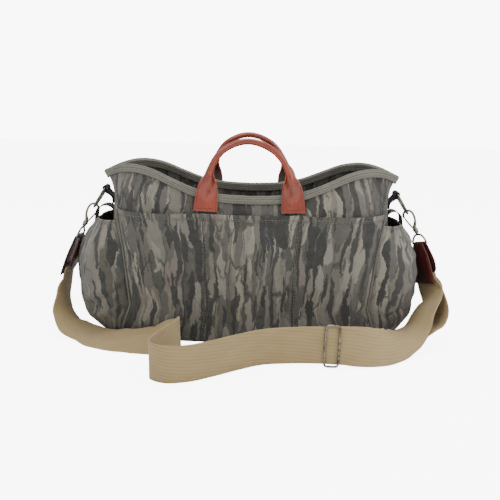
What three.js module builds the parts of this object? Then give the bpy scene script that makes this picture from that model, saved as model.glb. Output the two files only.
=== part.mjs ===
import * as THREE from 'three';

// An open-topped canvas utility bag on its base, millimetres, +Z up.
// X runs to the right of the front view, Y runs to the back, the origin is the centre of the base.

// Driving sizes of the bag
const HALF_LENGTH = 206;
const HALF_DEPTH = 88;
const RIM_LOW = 200;
const CANVAS = 2.4;
const POCKET_CLOTH = 1.8;
const SEAM_GAP = 0.4;
const POCKET_GAP = 0.9;
const POCKET_TOP = 179;
const BINDING_DEPTH = 10;
const BINDING_CLOTH = 1.2;

// Driving sizes of the leather and the webbing
const HANDLE_SPREAD = 115;
const HANDLE_TOP = 273;
const HANDLE_TAB = 30;
const LEATHER = 3;
const WEB_WIDTH = 50;
const WEB_CLOTH = 1.7;
const TAB_LENGTH = 56;

// Driving sizes of the metal
const WIRE = 3.4;
const RING_REACH = 33;
const RING_WIDTH = 27;
const HOOK_LENGTH = 37;
const EYE_WIDTH = 36;
const EYE_DROP = 14;
const SLIDER_HEIGHT = 56;
const SLIDER_WIDTH = 17;

const COLORS = {
  canvas: 0x66625a,
  binding: 0x7f7d72,
  leather: 0xa8482e,
  darkLeather: 0x4b1a15,
  khaki: 0xa89a78,
  black: 0x1e1f1e,
  nickel: 0x8a857a,
};

// Outline of the bag at shares of the rim's height.
// Columns: height share, half length, half depth (shares of the two half sizes), and the two powers that
// round the outline: y = depth * (1 - x^cornerPower)^(1 / endPower).
const LEVELS = [
  [0.0, 0.98, 0.88, 3.0, 3.0],
  [0.03, 0.995, 0.9, 3.1, 3.0],
  [0.1, 0.99, 0.925, 3.4, 3.2],
  [0.2, 0.97, 0.955, 3.8, 3.6],
  [0.45, 0.94, 1.0, 4.2, 4.0],
  [0.7, 0.922, 0.99, 4.2, 3.8],
  [0.85, 0.925, 0.95, 4.0, 3.0],
  [0.93, 0.955, 0.9, 3.6, 1.9],
  [1.0, 1.0, 0.865, 3.2, 1.3],
];

// Rim height above the base along the bag. Columns: share of the half length, share of the lowest rim.
const RIM = [
  [0.0, 1.0],
  [0.2, 1.01],
  [0.35, 1.04],
  [0.49, 1.095],
  [0.63, 1.155],
  [0.73, 1.178],
  [0.81, 1.18],
  [0.9, 1.16],
  [1.0, 1.115],
];

// Front pocket panel. Columns: height (share of the pocket top), half length (share of the half length).
const PANEL_EDGE = [
  [0.0, 0.83],
  [0.1, 0.82],
  [0.28, 0.765],
  [0.5, 0.785],
  [0.7, 0.806],
  [1.0, 0.86],
];
const POCKET_SEAMS = [-1.0, -0.358, 0.358, 1.0];
const POCKET_BULGE = 11;
// Fullness of the three pockets over their height. Columns: share of the pocket top, share of the bulge.
const POCKET_FULL = [
  [0.0, 0.04],
  [0.1, 0.22],
  [0.3, 0.62],
  [0.55, 1.0],
  [0.8, 0.78],
  [1.0, 0.2],
];

// End pockets. Columns: height (share of the lowest rim), how far the cloth stands off the end wall.
const END_POCKET = [
  [0.012, 0.6],
  [0.06, 10],
  [0.16, 28],
  [0.3, 41],
  [0.43, 46],
  [0.56, 45],
  [0.69, 37],
  [0.77, 28],
  [0.82, 21],
];
const END_FULLNESS = { left: 1, right: 0.84 };

/** Straight-line reading of column `col` of a table whose first column rises. */
function read(table, at, col = 1) {
  for (let i = 1; i < table.length; i += 1) {
    if (at <= table[i][0]) {
      const k = Math.max(0, (at - table[i - 1][0]) / (table[i][0] - table[i - 1][0]));
      return THREE.MathUtils.lerp(table[i - 1][col], table[i][col], k);
    }
  }
  return table[table.length - 1][col];
}

/** Smooth reading of a column: a cubic through the neighbouring rows. */
function readSmooth(table, at, col = 1) {
  const last = table.length - 1;
  let i = 1;
  while (i < last && at > table[i][0]) i += 1;
  const slope = (n) => {
    const a = Math.max(0, n - 1);
    const b = Math.min(last, n + 1);
    return (table[b][col] - table[a][col]) / (table[b][0] - table[a][0]);
  };
  const span = table[i][0] - table[i - 1][0];
  const k = THREE.MathUtils.clamp((at - table[i - 1][0]) / span, 0, 1);
  const k2 = k * k;
  const k3 = k2 * k;
  return (2 * k3 - 3 * k2 + 1) * table[i - 1][col] + (k3 - 2 * k2 + k) * span * slope(i - 1)
    + (3 * k2 - 2 * k3) * table[i][col] + (k3 - k2) * span * slope(i);
}

/** A quarter of the bag's outline at a height share: points from the front's middle to the end's middle. */
const quarterCache = new Map();
function quarter(share) {
  const key = share.toFixed(5);
  if (quarterCache.has(key)) return quarterCache.get(key);
  const length = HALF_LENGTH * readSmooth(LEVELS, share, 1);
  const depth = HALF_DEPTH * readSmooth(LEVELS, share, 2);
  const cornerPower = readSmooth(LEVELS, share, 3);
  const endPower = readSmooth(LEVELS, share, 4);
  const steps = 160;
  const points = [];
  let run = 0;
  for (let i = 0; i <= steps; i += 1) {
    const back = 1 - i / steps;
    const q = Math.sin((Math.PI / 2) * (1 - back * back));
    const x = length * q;
    const y = -depth * Math.max(0, 1 - q ** cornerPower) ** (1 / endPower);
    if (i > 0) run += Math.hypot(x - points[i - 1].x, y - points[i - 1].y);
    points.push({ x, y, run });
  }
  quarterCache.set(key, points);
  return points;
}

/** Point of a quarter at a share of its length, 0 at the front's middle and 1 at the end's middle. */
function onQuarter(share, along) {
  const points = quarter(share);
  const goal = along * points[points.length - 1].run;
  let i = 1;
  while (i < points.length - 1 && points[i].run < goal) i += 1;
  const a = points[i - 1];
  const b = points[i];
  const k = (goal - a.run) / (b.run - a.run);
  return [THREE.MathUtils.lerp(a.x, b.x, k), THREE.MathUtils.lerp(a.y, b.y, k)];
}

/** Share along a quarter where it reaches a given x. */
function alongAt(share, x) {
  const points = quarter(share);
  let i = 1;
  while (i < points.length - 1 && points[i].x < x) i += 1;
  const a = points[i - 1];
  const b = points[i];
  const k = THREE.MathUtils.clamp((x - a.x) / (b.x - a.x), 0, 1);
  return THREE.MathUtils.lerp(a.run, b.run, k) / points[points.length - 1].run;
}

/** Height of the rim for a place along the quarter. */
function rimHeight(along) {
  const [x] = onQuarter(1, along);
  return RIM_LOW * readSmooth(RIM, Math.min(1, x / HALF_LENGTH));
}

/** Slack of the cloth: shallow upright folds that fade at the base and the rim. */
function slack(x, y, share) {
  const fade = Math.max(0, Math.sin(Math.PI * THREE.MathUtils.clamp(share, 0, 1))) ** 0.7;
  return fade * (1.3 * Math.sin(x / 23 + share * 2.1) + 0.9 * Math.sin(x / 11 - share * 3.7 + y / 30));
}

/** Outer surface of the bag. `turn` runs 0..4 round it from the front's middle over the right end. */
function wallPoint(turn, share) {
  const side = ((Math.floor(turn) % 4) + 4) % 4;
  const part = turn - Math.floor(turn);
  const along = side % 2 === 0 ? part : 1 - part;
  const [x, y] = onQuarter(share, along);
  const signX = side === 0 || side === 1 ? 1 : -1;
  const signY = side === 0 || side === 3 ? 1 : -1;
  const point = new THREE.Vector3(signX * x, signY * y, share * rimHeight(along));
  if (along < 0.72) {
    const calm = 1 - (along / 0.72) ** 4;
    point.y -= signY * calm * slack(point.x, point.y, share);
  }
  return point;
}

/** Share of the rim's height that gives a height in millimetres at a place round the bag. */
function shareAt(turn, height) {
  const side = ((Math.floor(turn) % 4) + 4) % 4;
  const part = turn - Math.floor(turn);
  return height / rimHeight(side % 2 === 0 ? part : 1 - part);
}

/** Normal of the bag's wall, pointing out. */
function wallNormal(turn, share) {
  const a = wallPoint(turn + 0.012, share).sub(wallPoint(turn - 0.012, share));
  const lower = Math.max(0.001, share - 0.02);
  const upper = Math.min(1, share + 0.02);
  const b = wallPoint(turn, upper).sub(wallPoint(turn, lower));
  return a.cross(b).normalize();
}

/** Turns an indexed list of corners into a geometry whose faces point out. */
function solidFrom(points, faces) {
  let volume = 0;
  const a = new THREE.Vector3();
  for (const [i, j, k] of faces) {
    volume += a.copy(points[i]).cross(points[j]).dot(points[k]);
  }
  const ordered = volume < 0 ? faces.map(([i, j, k]) => [i, k, j]) : faces;
  const geometry = new THREE.BufferGeometry();
  geometry.setAttribute('position', new THREE.Float32BufferAttribute(points.flatMap((p) => p.toArray()), 3));
  geometry.setIndex(ordered.flat());
  geometry.computeVertexNormals();
  return geometry;
}

/** Normals of a grid of points; `ring` joins its columns. */
function gridNormals(rows, ring) {
  const height = rows.length;
  const width = rows[0].length;
  const at = (i, j) => rows[THREE.MathUtils.clamp(i, 0, height - 1)][
    ring ? (j + width) % width : THREE.MathUtils.clamp(j, 0, width - 1)];
  return rows.map((row, i) => row.map((_, j) => {
    const across = at(i, j + 1).clone().sub(at(i, j - 1));
    const up = at(i + 1, j).clone().sub(at(i - 1, j));
    return across.cross(up).normalize();
  }));
}

/** Cloth of a given thickness behind a grid of points; `ring` joins its columns, `floor` closes row 0. */
function cloth(rows, thickness, { ring = false, floor = false } = {}) {
  const height = rows.length;
  const width = rows[0].length;
  const normals = gridNormals(rows, ring);
  const outer = rows.flat().map((point) => point.clone());
  const inner = rows.flatMap((row, i) => row.map((point, j) => (
    point.clone().addScaledVector(normals[i][j], -thickness)
  )));
  const points = [...outer, ...inner];
  const faces = [];
  const half = outer.length;
  const columns = ring ? width : width - 1;
  const quad = (a, b, c, d) => faces.push([a, b, c], [a, c, d]);
  for (let j = 0; j < columns; j += 1) {
    const next = (j + 1) % width;
    for (let i = 0; i < height - 1; i += 1) {
      const a = i * width + j;
      const b = i * width + next;
      quad(a, b, b + width, a + width);
      quad(half + a, half + a + width, half + b + width, half + b);
    }
    const top = (height - 1) * width;
    quad(top + j, top + next, half + top + next, half + top + j);
    if (!floor) quad(next, j, half + j, half + next);
  }
  if (!ring) {
    for (let i = 0; i < height - 1; i += 1) {
      const a = i * width;
      const b = i * width + width - 1;
      quad(a, a + width, half + a + width, half + a);
      quad(b + width, b, half + b, half + b + width);
    }
  }
  if (floor) {
    const middle = new THREE.Vector3();
    for (let j = 0; j < width; j += 1) middle.add(outer[j]);
    middle.divideScalar(width);
    const lower = points.push(middle) - 1;
    const upper = points.push(middle.clone().add(new THREE.Vector3(0, 0, thickness))) - 1;
    for (let j = 0; j < width; j += 1) {
      const next = (j + 1) % width;
      faces.push([lower, next, j], [upper, half + j, half + next]);
    }
  }
  return solidFrom(points, faces);
}

/** Skin over a row of closed sections, with flat caps, or joined end to end when `loop` is set. */
function loft(sections, loop = false, turned = []) {
  const count = sections.length;
  const sides = sections[0].length;
  const points = sections.flat();
  const faces = [];
  const spans = loop ? count : count - 1;
  for (let i = 0; i < spans; i += 1) {
    for (let j = 0; j < sides; j += 1) {
      const a = i * sides + j;
      const b = i * sides + ((j + 1) % sides);
      const c = ((i + 1) % count) * sides + ((j + 1) % sides);
      const d = ((i + 1) % count) * sides + j;
      if (turned.includes(j)) faces.push([a, b, d], [b, c, d]);
      else faces.push([a, b, c], [a, c, d]);
    }
  }
  if (!loop) {
    const last = (count - 1) * sides;
    for (let j = 1; j < sides - 1; j += 1) {
      faces.push([0, j + 1, j], [last, last + j, last + j + 1]);
    }
  }
  return solidFrom(points, faces);
}

/** Round section in the plane of two unit vectors. */
function roundSection(center, u, v, radiusU, radiusV, sides) {
  return Array.from({ length: sides }, (_, k) => {
    const angle = (2 * Math.PI * (k + 0.5)) / sides;
    return center.clone()
      .addScaledVector(u, radiusU * Math.cos(angle))
      .addScaledVector(v, radiusV * Math.sin(angle));
  });
}

/** Wire bent in one plane: `path` gives [across, down] pairs in the plane of two unit vectors. */
function flatWire(origin, across, down, path, radius, { loop = false, sides = 8 } = {}) {
  const out = across.clone().cross(down).normalize();
  const points = path.map(([a, d]) => origin.clone().addScaledVector(across, a).addScaledVector(down, d));
  const count = points.length;
  const sections = points.map((point, i) => {
    const before = points[loop ? (i + count - 1) % count : Math.max(0, i - 1)];
    const after = points[loop ? (i + 1) % count : Math.min(count - 1, i + 1)];
    const tangent = after.clone().sub(before).normalize();
    const inPlane = tangent.clone().cross(out).normalize();
    const into = point.clone().sub(before).normalize();
    const turn = loop || (i > 0 && i < count - 1) ? Math.max(0.7, Math.abs(into.dot(tangent))) : 1;
    return roundSection(point, inPlane, out, radius / turn, radius, sides);
  });
  return loft(sections, loop);
}

/** Rounded rectangle as [across, down] pairs. */
function roundedPath(width, height, radius, steps = 3) {
  const path = [];
  const corners = [[1, -1], [1, 1], [-1, 1], [-1, -1]];
  corners.forEach(([sx, sy], n) => {
    for (let k = 0; k <= steps; k += 1) {
      const angle = (Math.PI / 2) * (n - 1 + k / steps);
      path.push([
        sx * (width / 2 - radius) + radius * Math.cos(angle),
        sy * (height / 2 - radius) + radius * Math.sin(angle),
      ]);
    }
  });
  return path;
}

/** Flat strap: centre points, width vectors (unit) and sizes give sections of four corners. */
function strapSections(points, widths, width, thickness) {
  return points.map((point, i) => {
    const tangent = points[Math.min(points.length - 1, i + 1)].clone()
      .sub(points[Math.max(0, i - 1)]).normalize();
    const across = widths[i].clone().addScaledVector(tangent, -widths[i].dot(tangent)).normalize();
    const normal = tangent.clone().cross(across).normalize();
    const corner = (w, n) => point.clone()
      .addScaledVector(across, (w * width) / 2)
      .addScaledVector(normal, (n * thickness) / 2);
    return [corner(-1, -1), corner(1, -1), corner(1, 1), corner(-1, 1)];
  });
}

const bag = new THREE.Group();

/** Adds one piece with a material of its own. */
function addPiece(name, geometry, color, roughness, metalness = 0) {
  const material = new THREE.MeshStandardMaterial({ color, roughness, metalness });
  const mesh = new THREE.Mesh(geometry, material);
  mesh.name = name;
  bag.add(mesh);
  return mesh;
}

// Body: one canvas shell, open at the top
const BODY_COLUMNS = 64;
const TURNS = Array.from({ length: BODY_COLUMNS }, (_, j) => (4 * j) / BODY_COLUMNS);
const BODY_SHARES = [0.03, 0.11, 0.22, 0.36, 0.52, 0.68, 0.82, 0.9];
const baseRow = TURNS.map((turn) => wallPoint(turn, 0));
const bodyRows = [0.45, 0.9].map((scale) => baseRow.map((p) => p.clone().multiplyScalar(scale)));
bodyRows.push(baseRow);
for (const share of BODY_SHARES) bodyRows.push(TURNS.map((turn) => wallPoint(turn, share)));
const bindingRow = TURNS.map((turn) => wallPoint(turn, 1 - (BINDING_DEPTH + 1) / (wallPoint(turn, 1).z)));
const rimRow = TURNS.map((turn) => wallPoint(turn, 1));
bodyRows.push(bindingRow, rimRow);
addPiece('body_shell', cloth(bodyRows, CANVAS, { ring: true, floor: true }), COLORS.canvas, 0.95);

// Rim binding: a folded strip over the rim, clear of the shell on both sides
const bodyNormals = gridNormals(bodyRows, true);
const INNER_LEG = [5, 9];
const bindingSections = TURNS.map((_, j) => {
  const level = bodyRows.length - 1;
  const up = new THREE.Vector3(0, 0, 1);
  const share = BINDING_DEPTH / (BINDING_DEPTH + 1);
  const top = rimRow[j];
  const low = top.clone().lerp(bindingRow[j], share);
  const topOut = bodyNormals[level][j];
  const lowOut = topOut.clone().lerp(bodyNormals[level - 1][j], share);
  const near = SEAM_GAP + 0.25;
  const far = near + BINDING_CLOTH;
  const at = (base, out, off, raise = 0) => base.clone().addScaledVector(out, off).addScaledVector(up, raise);
  return [
    at(low, lowOut, near), at(low, lowOut, far), at(top, topOut, far, near), at(top, topOut, near, far),
    at(top, topOut, -CANVAS - near, far), at(top, topOut, -CANVAS - far, near),
    at(low, lowOut, -CANVAS - far), at(low, lowOut, -CANVAS - near),
    at(top, topOut, -CANVAS - near, near), at(top, topOut, near, near),
  ];
});
addPiece('rim_binding', loft(bindingSections, true, INNER_LEG), COLORS.binding, 0.95);

/** Place on the wall at a height and at an x in front (negative turns) or round the ends. */
function turnAt(height, x) {
  let along = alongAt(height / RIM_LOW, Math.abs(x));
  for (let i = 0; i < 3; i += 1) along = alongAt(height / rimHeight(along), Math.abs(x));
  return along;
}

/** Point off the wall's outer surface by a distance, round the bag at a height. */
function offWall(turn, height, distance) {
  const share = shareAt(turn, height);
  const out = wallNormal(turn, share).setZ(0).normalize();
  return wallPoint(turn, share).addScaledVector(out, distance);
}

// Front pocket panel: one cloth with two stitched dividers, so three open pockets
const PANEL_HEIGHTS = [0.012, 0.07, 0.2, 0.36, 0.54, 0.72, 0.87, 1.0];
const PANEL_COLUMNS = 38;
const panelRows = PANEL_HEIGHTS.map((share) => {
  const height = share * POCKET_TOP;
  const edge = HALF_LENGTH * read(PANEL_EDGE, share);
  const edgeAlong = turnAt(height, edge);
  return Array.from({ length: PANEL_COLUMNS + 1 }, (_, j) => {
    const place = (2 * j) / PANEL_COLUMNS - 1;
    const turn = place * edgeAlong;
    const x = Math.abs(onQuarter(shareAt(turn, height), Math.abs(turn))[0]) * Math.sign(place);
    const shareX = x / edge;
    let bulge = 0;
    for (let n = 1; n < POCKET_SEAMS.length; n += 1) {
      const from = POCKET_SEAMS[n - 1];
      const to = POCKET_SEAMS[n];
      if (shareX >= from && shareX <= to) {
        bulge = Math.max(0, Math.sin((Math.PI * (shareX - from)) / (to - from))) ** 0.65;
      }
    }
    const body = readSmooth(POCKET_FULL, share);
    return offWall(turn, height, POCKET_GAP + POCKET_CLOTH + POCKET_BULGE * bulge * body);
  });
});
addPiece('front_pocket_panel', cloth(panelRows, POCKET_CLOTH), COLORS.canvas, 0.95);

// End pockets: bulging cloth round each end, sewn at the base and at both upright seams
const END_COLUMNS = 22;

/** Grid of one end pocket's outer face: rows up the pocket, columns from its front seam to its back seam. */
function endPocket(sign, fullness) {
  return END_POCKET.map(([share, off]) => {
    const height = share * RIM_LOW;
    const seam = turnAt(height, HALF_LENGTH * read(PANEL_EDGE, height / POCKET_TOP)) + 0.012;
    return Array.from({ length: END_COLUMNS + 1 }, (_, j) => {
      const place = (2 * j) / END_COLUMNS - 1;
      const turn = 1 + place * (1 - seam);
      const round = 1 - Math.abs(place) ** 2.4;
      const fold = 1 + 0.05 * Math.sin(place * 9 + share * 5 + sign);
      const droop = height - 8 * round * Math.max(0, share - 0.7) / 0.12 * 0.5;
      const point = offWall(turn, droop, POCKET_GAP + POCKET_CLOTH + fullness * off * round * fold);
      point.x *= sign;
      return point;
    });
  });
}
const leftPocket = endPocket(-1, END_FULLNESS.left).map((row) => row.reverse());
addPiece('end_pocket_left', cloth(leftPocket, POCKET_CLOTH), COLORS.canvas, 0.95);
addPiece('end_pocket_right', cloth(endPocket(1, END_FULLNESS.right), POCKET_CLOTH), COLORS.canvas, 0.95);

// Carry handles. Columns: height (share of the handle top), x (share of half the spread),
// half width in the plane of the arch, half depth towards the front, lean of the arch outwards (mm).
const HANDLE_STATIONS = [
  [0.66, 1.0, 1.0, 0.5, 0.0],
  [0.69, 0.995, 0.97, 0.5, 0.0],
  [0.715, 0.985, 0.93, 0.5, 0.0],
  [0.765, 0.965, 0.84, 0.55, 0.5],
  [0.81, 0.94, 0.68, 0.8, 1.0],
  [0.85, 0.9, 0.46, 1.3, 1.0],
  [0.885, 0.835, 0.3, 1.8, 0.5],
  [0.918, 0.745, 0.265, 2.0, 0.0],
  [0.95, 0.61, 0.26, 2.05, -1.0],
  [0.975, 0.43, 0.26, 2.05, -2.0],
  [0.993, 0.22, 0.26, 2.05, -2.5],
  [1.0, 0.0, 0.26, 2.05, -3.0],
];

/** One carry handle: a flat tab, a folded neck and a round grip over to the other tab. */
function handle(sign) {
  const stations = [];
  const foot = POCKET_TOP + 1.18;
  const tabShare = HANDLE_STATIONS[0][0];
  const count = HANDLE_STATIONS.length;
  const add = (row, side) => stations.push({
    z: foot + ((HANDLE_TOP - foot) * (row[0] - tabShare)) / (1 - tabShare),
    x: -2 + (side * row[1] * HANDLE_SPREAD) / 2 - 3 * Math.max(0, row[0] - 0.8) / 0.2,
    wide: (row[2] * HANDLE_TAB) / 2,
    deep: row[3] * LEATHER,
    lean: row[4],
  });
  for (let i = 0; i < count; i += 1) add(HANDLE_STATIONS[i], -1);
  for (let i = count - 2; i >= 0; i -= 1) add(HANDLE_STATIONS[i], 1);
  const wallAt = (z) => {
    const turn = turnAt(Math.min(z, RIM_LOW - 2), HANDLE_SPREAD / 2);
    return -wallPoint(turn, Math.min(1, z / RIM_LOW)).y;
  };
  const base = wallAt(POCKET_TOP * 0.92);
  const rim = wallAt(RIM_LOW - 1);
  const centers = stations.map(({ x, z, deep, lean }) => {
    const upTo = THREE.MathUtils.clamp((z - POCKET_TOP * 0.92) / (RIM_LOW - POCKET_TOP * 0.92), 0, 1);
    const wall = THREE.MathUtils.lerp(base, rim, upTo);
    return new THREE.Vector3(x, -sign * (wall + SEAM_GAP + BINDING_CLOTH + 1.9 + deep + lean), z);
  });
  const sections = stations.map(({ wide, deep }, i) => {
    const tangent = centers[Math.min(centers.length - 1, i + 1)].clone()
      .sub(centers[Math.max(0, i - 1)]).normalize();
    const front = new THREE.Vector3(0, 1, 0);
    const across = tangent.clone().cross(front).normalize();
    const depth = across.clone().cross(tangent).normalize();
    return roundSection(centers[i], across, depth, wide * 1.08, deep * 1.08, 8);
  });
  return loft(sections);
}
addPiece('handle_front', handle(1), COLORS.leather, 0.35);
addPiece('handle_back', handle(-1), COLORS.leather, 0.35);

// Ends of the bag: a webbing tab holds a ring, and a snap hook hangs from it
const RING_PIVOT = new THREE.Vector3(HALF_LENGTH - 1.5, 0, RIM_LOW - 0.5);
const RING_DOWN = new THREE.Vector3(0.53, 0, -0.848).normalize();
const HOOK_DOWN = new THREE.Vector3(0.5, 0, -0.866).normalize();
const FRONT = new THREE.Vector3(0, -1, 0);

/** Mirrors a vector to the left end where sign is -1. */
function toSide(vector, sign) {
  return new THREE.Vector3(sign * vector.x, vector.y, vector.z);
}

/** Curve through [x, z] pairs, sampled evenly, in the plane y = const. */
function bend(pairs, steps, y = 0) {
  const knots = pairs.map(([x, z]) => new THREE.Vector3(x, y, z));
  return new THREE.CatmullRomCurve3(knots, false, 'centripetal').getSpacedPoints(steps);
}

/** Webbing folded round the ring's bar, with both ends on the end wall. */
function ringTab(sign) {
  const { x, z } = RING_PIVOT;
  const wall = (height) => Math.abs(offWall(1, height, SEAM_GAP + 1.2).x);
  const pairs = [
    [wall(z - 23.5), z - 23.5], [wall(z - 13.5) + 0.1, z - 13.5], [x - 3.7, z - 2.6], [x - 3.1, z + 1.5],
    [x, z + 3.4], [x + 3.1, z + 1.2], [x + 2.2, z - 2.6], [x - 1.2, z - 6],
    [wall(z - 12.5) + 3.1, z - 12.5], [wall(z - 21.5) + 2.7, z - 21.5],
  ];
  const path = bend(pairs, 26).map((p) => new THREE.Vector3(sign * p.x, p.y, p.z));
  const widths = path.map(() => new THREE.Vector3(0, 1, 0));
  return loft(strapSections(path, widths, RING_WIDTH - 5, 1.5));
}

/** Bag ring: a D with its straight bar in the tab. */
function bagRing(sign) {
  const half = RING_WIDTH / 2;
  const path = [[-half + 2, 0], [half - 2, 0], [half, 2], [half, 15], [half - 2, 22]];
  for (let k = 1; k <= 5; k += 1) {
    const angle = (Math.PI * k) / 6;
    path.push([(half - 3) * Math.cos(angle), 23.5 + (RING_REACH - 23.5) * Math.sin(angle)]);
  }
  path.push([-half + 2, 22], [-half, 15], [-half, 2]);
  return flatWire(toSide(RING_PIVOT, sign), FRONT, toSide(RING_DOWN, sign), path, 1.55, { loop: true });
}

// Snap hook in its own plane. Columns: out from the bag, down from the top of the loop.
const HOOK_PATH = [
  [-5.9, 8.6], [-6.4, 5.2], [-4.6, 1.9], [-1.2, 0.1], [2.6, 0.6], [5.6, 3.4], [6.9, 7.6],
  [6.8, 12.6], [5.7, 17.6], [3.6, 22.0], [1.2, 25.2], [0.0, 28.5],
];
const GATE_PATH = [[-6.0, 9.9], [-5.2, 14.0], [-4.0, 19.4], [-2.6, 24.8]];
const HOOK_TOP = RING_PIVOT.clone().addScaledVector(RING_DOWN, RING_REACH - WIRE - 0.9);

/** Origin and plane of the snap hook at one end. */
function hookFrame(sign) {
  const down = toSide(HOOK_DOWN, sign);
  const out = new THREE.Vector3(sign * -HOOK_DOWN.z, 0, HOOK_DOWN.x).normalize();
  return { origin: toSide(HOOK_TOP, sign), down, out };
}

/** Snap hook: a bent loop whose shank runs into a round stem. */
function snapHook(sign) {
  const { origin, down, out } = hookFrame(sign);
  const front = out.clone().cross(down).normalize();
  const points = HOOK_PATH.map(([a, d]) => origin.clone().addScaledVector(out, a).addScaledVector(down, d));
  const sections = points.map((point, i) => {
    const tangent = points[Math.min(points.length - 1, i + 1)].clone()
      .sub(points[Math.max(0, i - 1)]).normalize();
    const inPlane = tangent.clone().cross(front).normalize();
    const radius = (WIRE / 2) * (i === 0 ? 0.75 : 1 + 0.25 * Math.max(0, i - 8));
    return roundSection(point, inPlane, front, radius, radius, 8);
  });
  const last = points.length - 1;
  const shank = points[last].clone().sub(points[last - 1]).normalize().cross(front);
  const side = shank.dot(out) < 0 ? out.clone().negate() : out;
  const stem = [[6.5, 3.6], [2.5, 3.6], [2.1, 2.4], [0.4, 2.4]];
  for (const [short, radius] of stem) {
    const d = HOOK_LENGTH - short;
    sections.push(roundSection(origin.clone().addScaledVector(down, d), side, front, radius, radius, 8));
  }
  return loft(sections);
}

/** Spring gate that closes the hook's loop. */
function snapGate(sign) {
  const { origin, down, out } = hookFrame(sign);
  return flatWire(origin, out, down, GATE_PATH, 1.25, { sides: 8 });
}

// Lower end of each hook: an eye and a leather tab, with their own plane at each side
const ENDS = {
  left: {
    down: new THREE.Vector3(-0.31, -0.02, -0.95),
    across: new THREE.Vector3(-0.05, -1, 0.03),
  },
  right: {
    down: new THREE.Vector3(0.22, -0.16, -0.96),
    across: new THREE.Vector3(0.31, -0.93, 0.2),
  },
};
for (const end of Object.values(ENDS)) {
  end.down.normalize();
  end.across.addScaledVector(end.down, -end.across.dot(end.down)).normalize();
}

/** Top of the eye, and the directions of the eye and of the strap's tab. */
function eyeFrame(name) {
  const sign = name === 'left' ? -1 : 1;
  const { origin, down } = hookFrame(sign);
  const top = origin.clone().addScaledVector(down, HOOK_LENGTH + 1.9);
  return { top, ...ENDS[name] };
}

/** Wire eye that holds the strap's tab. */
function hookEye(name) {
  const { top, down, across } = eyeFrame(name);
  const half = EYE_WIDTH / 2;
  const path = [
    [-5, 0], [5, 0], [11, 2.4], [half - 1.2, 8.5], [half, 12], [half - 1.4, EYE_DROP - 1.2],
    [half - 4, EYE_DROP], [0, EYE_DROP], [4 - half, EYE_DROP], [1.4 - half, EYE_DROP - 1.2], [-half, 12],
    [1.2 - half, 8.5], [-11, 2.4],
  ];
  return flatWire(top, across, down, path, 1.5, { loop: true });
}

/** Point of a strap-end tab: along the tab from the eye's lower bar, and out from its middle plane. */
function tabPoint(name, along, out) {
  const { top, down, across } = eyeFrame(name);
  const normal = across.clone().cross(down).normalize();
  return top.clone().addScaledVector(down, EYE_DROP + along).addScaledVector(normal, out);
}

// Leather tab: two leaves folded over the eye. Columns: along, out from the middle, width share.
const TAB_FOLD = [
  [1.0, -4.4, 1.0], [0.8, -4.3, 1.0], [0.5, -4.1, 0.94], [0.25, -3.7, 0.78], [0.08, -3.4, 0.6],
  [0.0, -3.2, 0.5], [-0.045, -1.8, 0.5], [-0.057, 0.0, 0.5], [-0.045, 1.8, 0.5],
  [0.0, 3.2, 0.5], [0.08, 3.4, 0.6], [0.25, 3.7, 0.78], [0.5, 4.1, 0.94], [0.7, 4.3, 0.82], [0.86, 4.4, 0.34],
];

/** Leather tab: one strip folded over the eye's lower bar, its outer leaf cut to a point. */
function strapTab(name) {
  const { across } = eyeFrame(name);
  const path = TAB_FOLD.map(([along, out]) => tabPoint(name, along * TAB_LENGTH, out));
  const widths = path.map(() => across);
  return loft(path.map((_, i) => (
    strapSections(path, widths, (WEB_WIDTH + 2) * TAB_FOLD[i][2], 1.9)[i]
  )));
}

for (const [name, sign] of [['left', -1], ['right', 1]]) {
  addPiece(`ring_tab_${name}`, ringTab(sign), COLORS.black, 0.95);
  addPiece(`bag_ring_${name}`, bagRing(sign), COLORS.nickel, 0.35, 1);
  addPiece(`snap_hook_${name}`, snapHook(sign), COLORS.nickel, 0.35, 1);
  addPiece(`snap_gate_${name}`, snapGate(sign), COLORS.nickel, 0.35, 1);
  addPiece(`hook_eye_${name}`, hookEye(name), COLORS.nickel, 0.35, 1);
  addPiece(`strap_tab_${name}`, strapTab(name), COLORS.darkLeather, 0.4);
}

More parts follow.
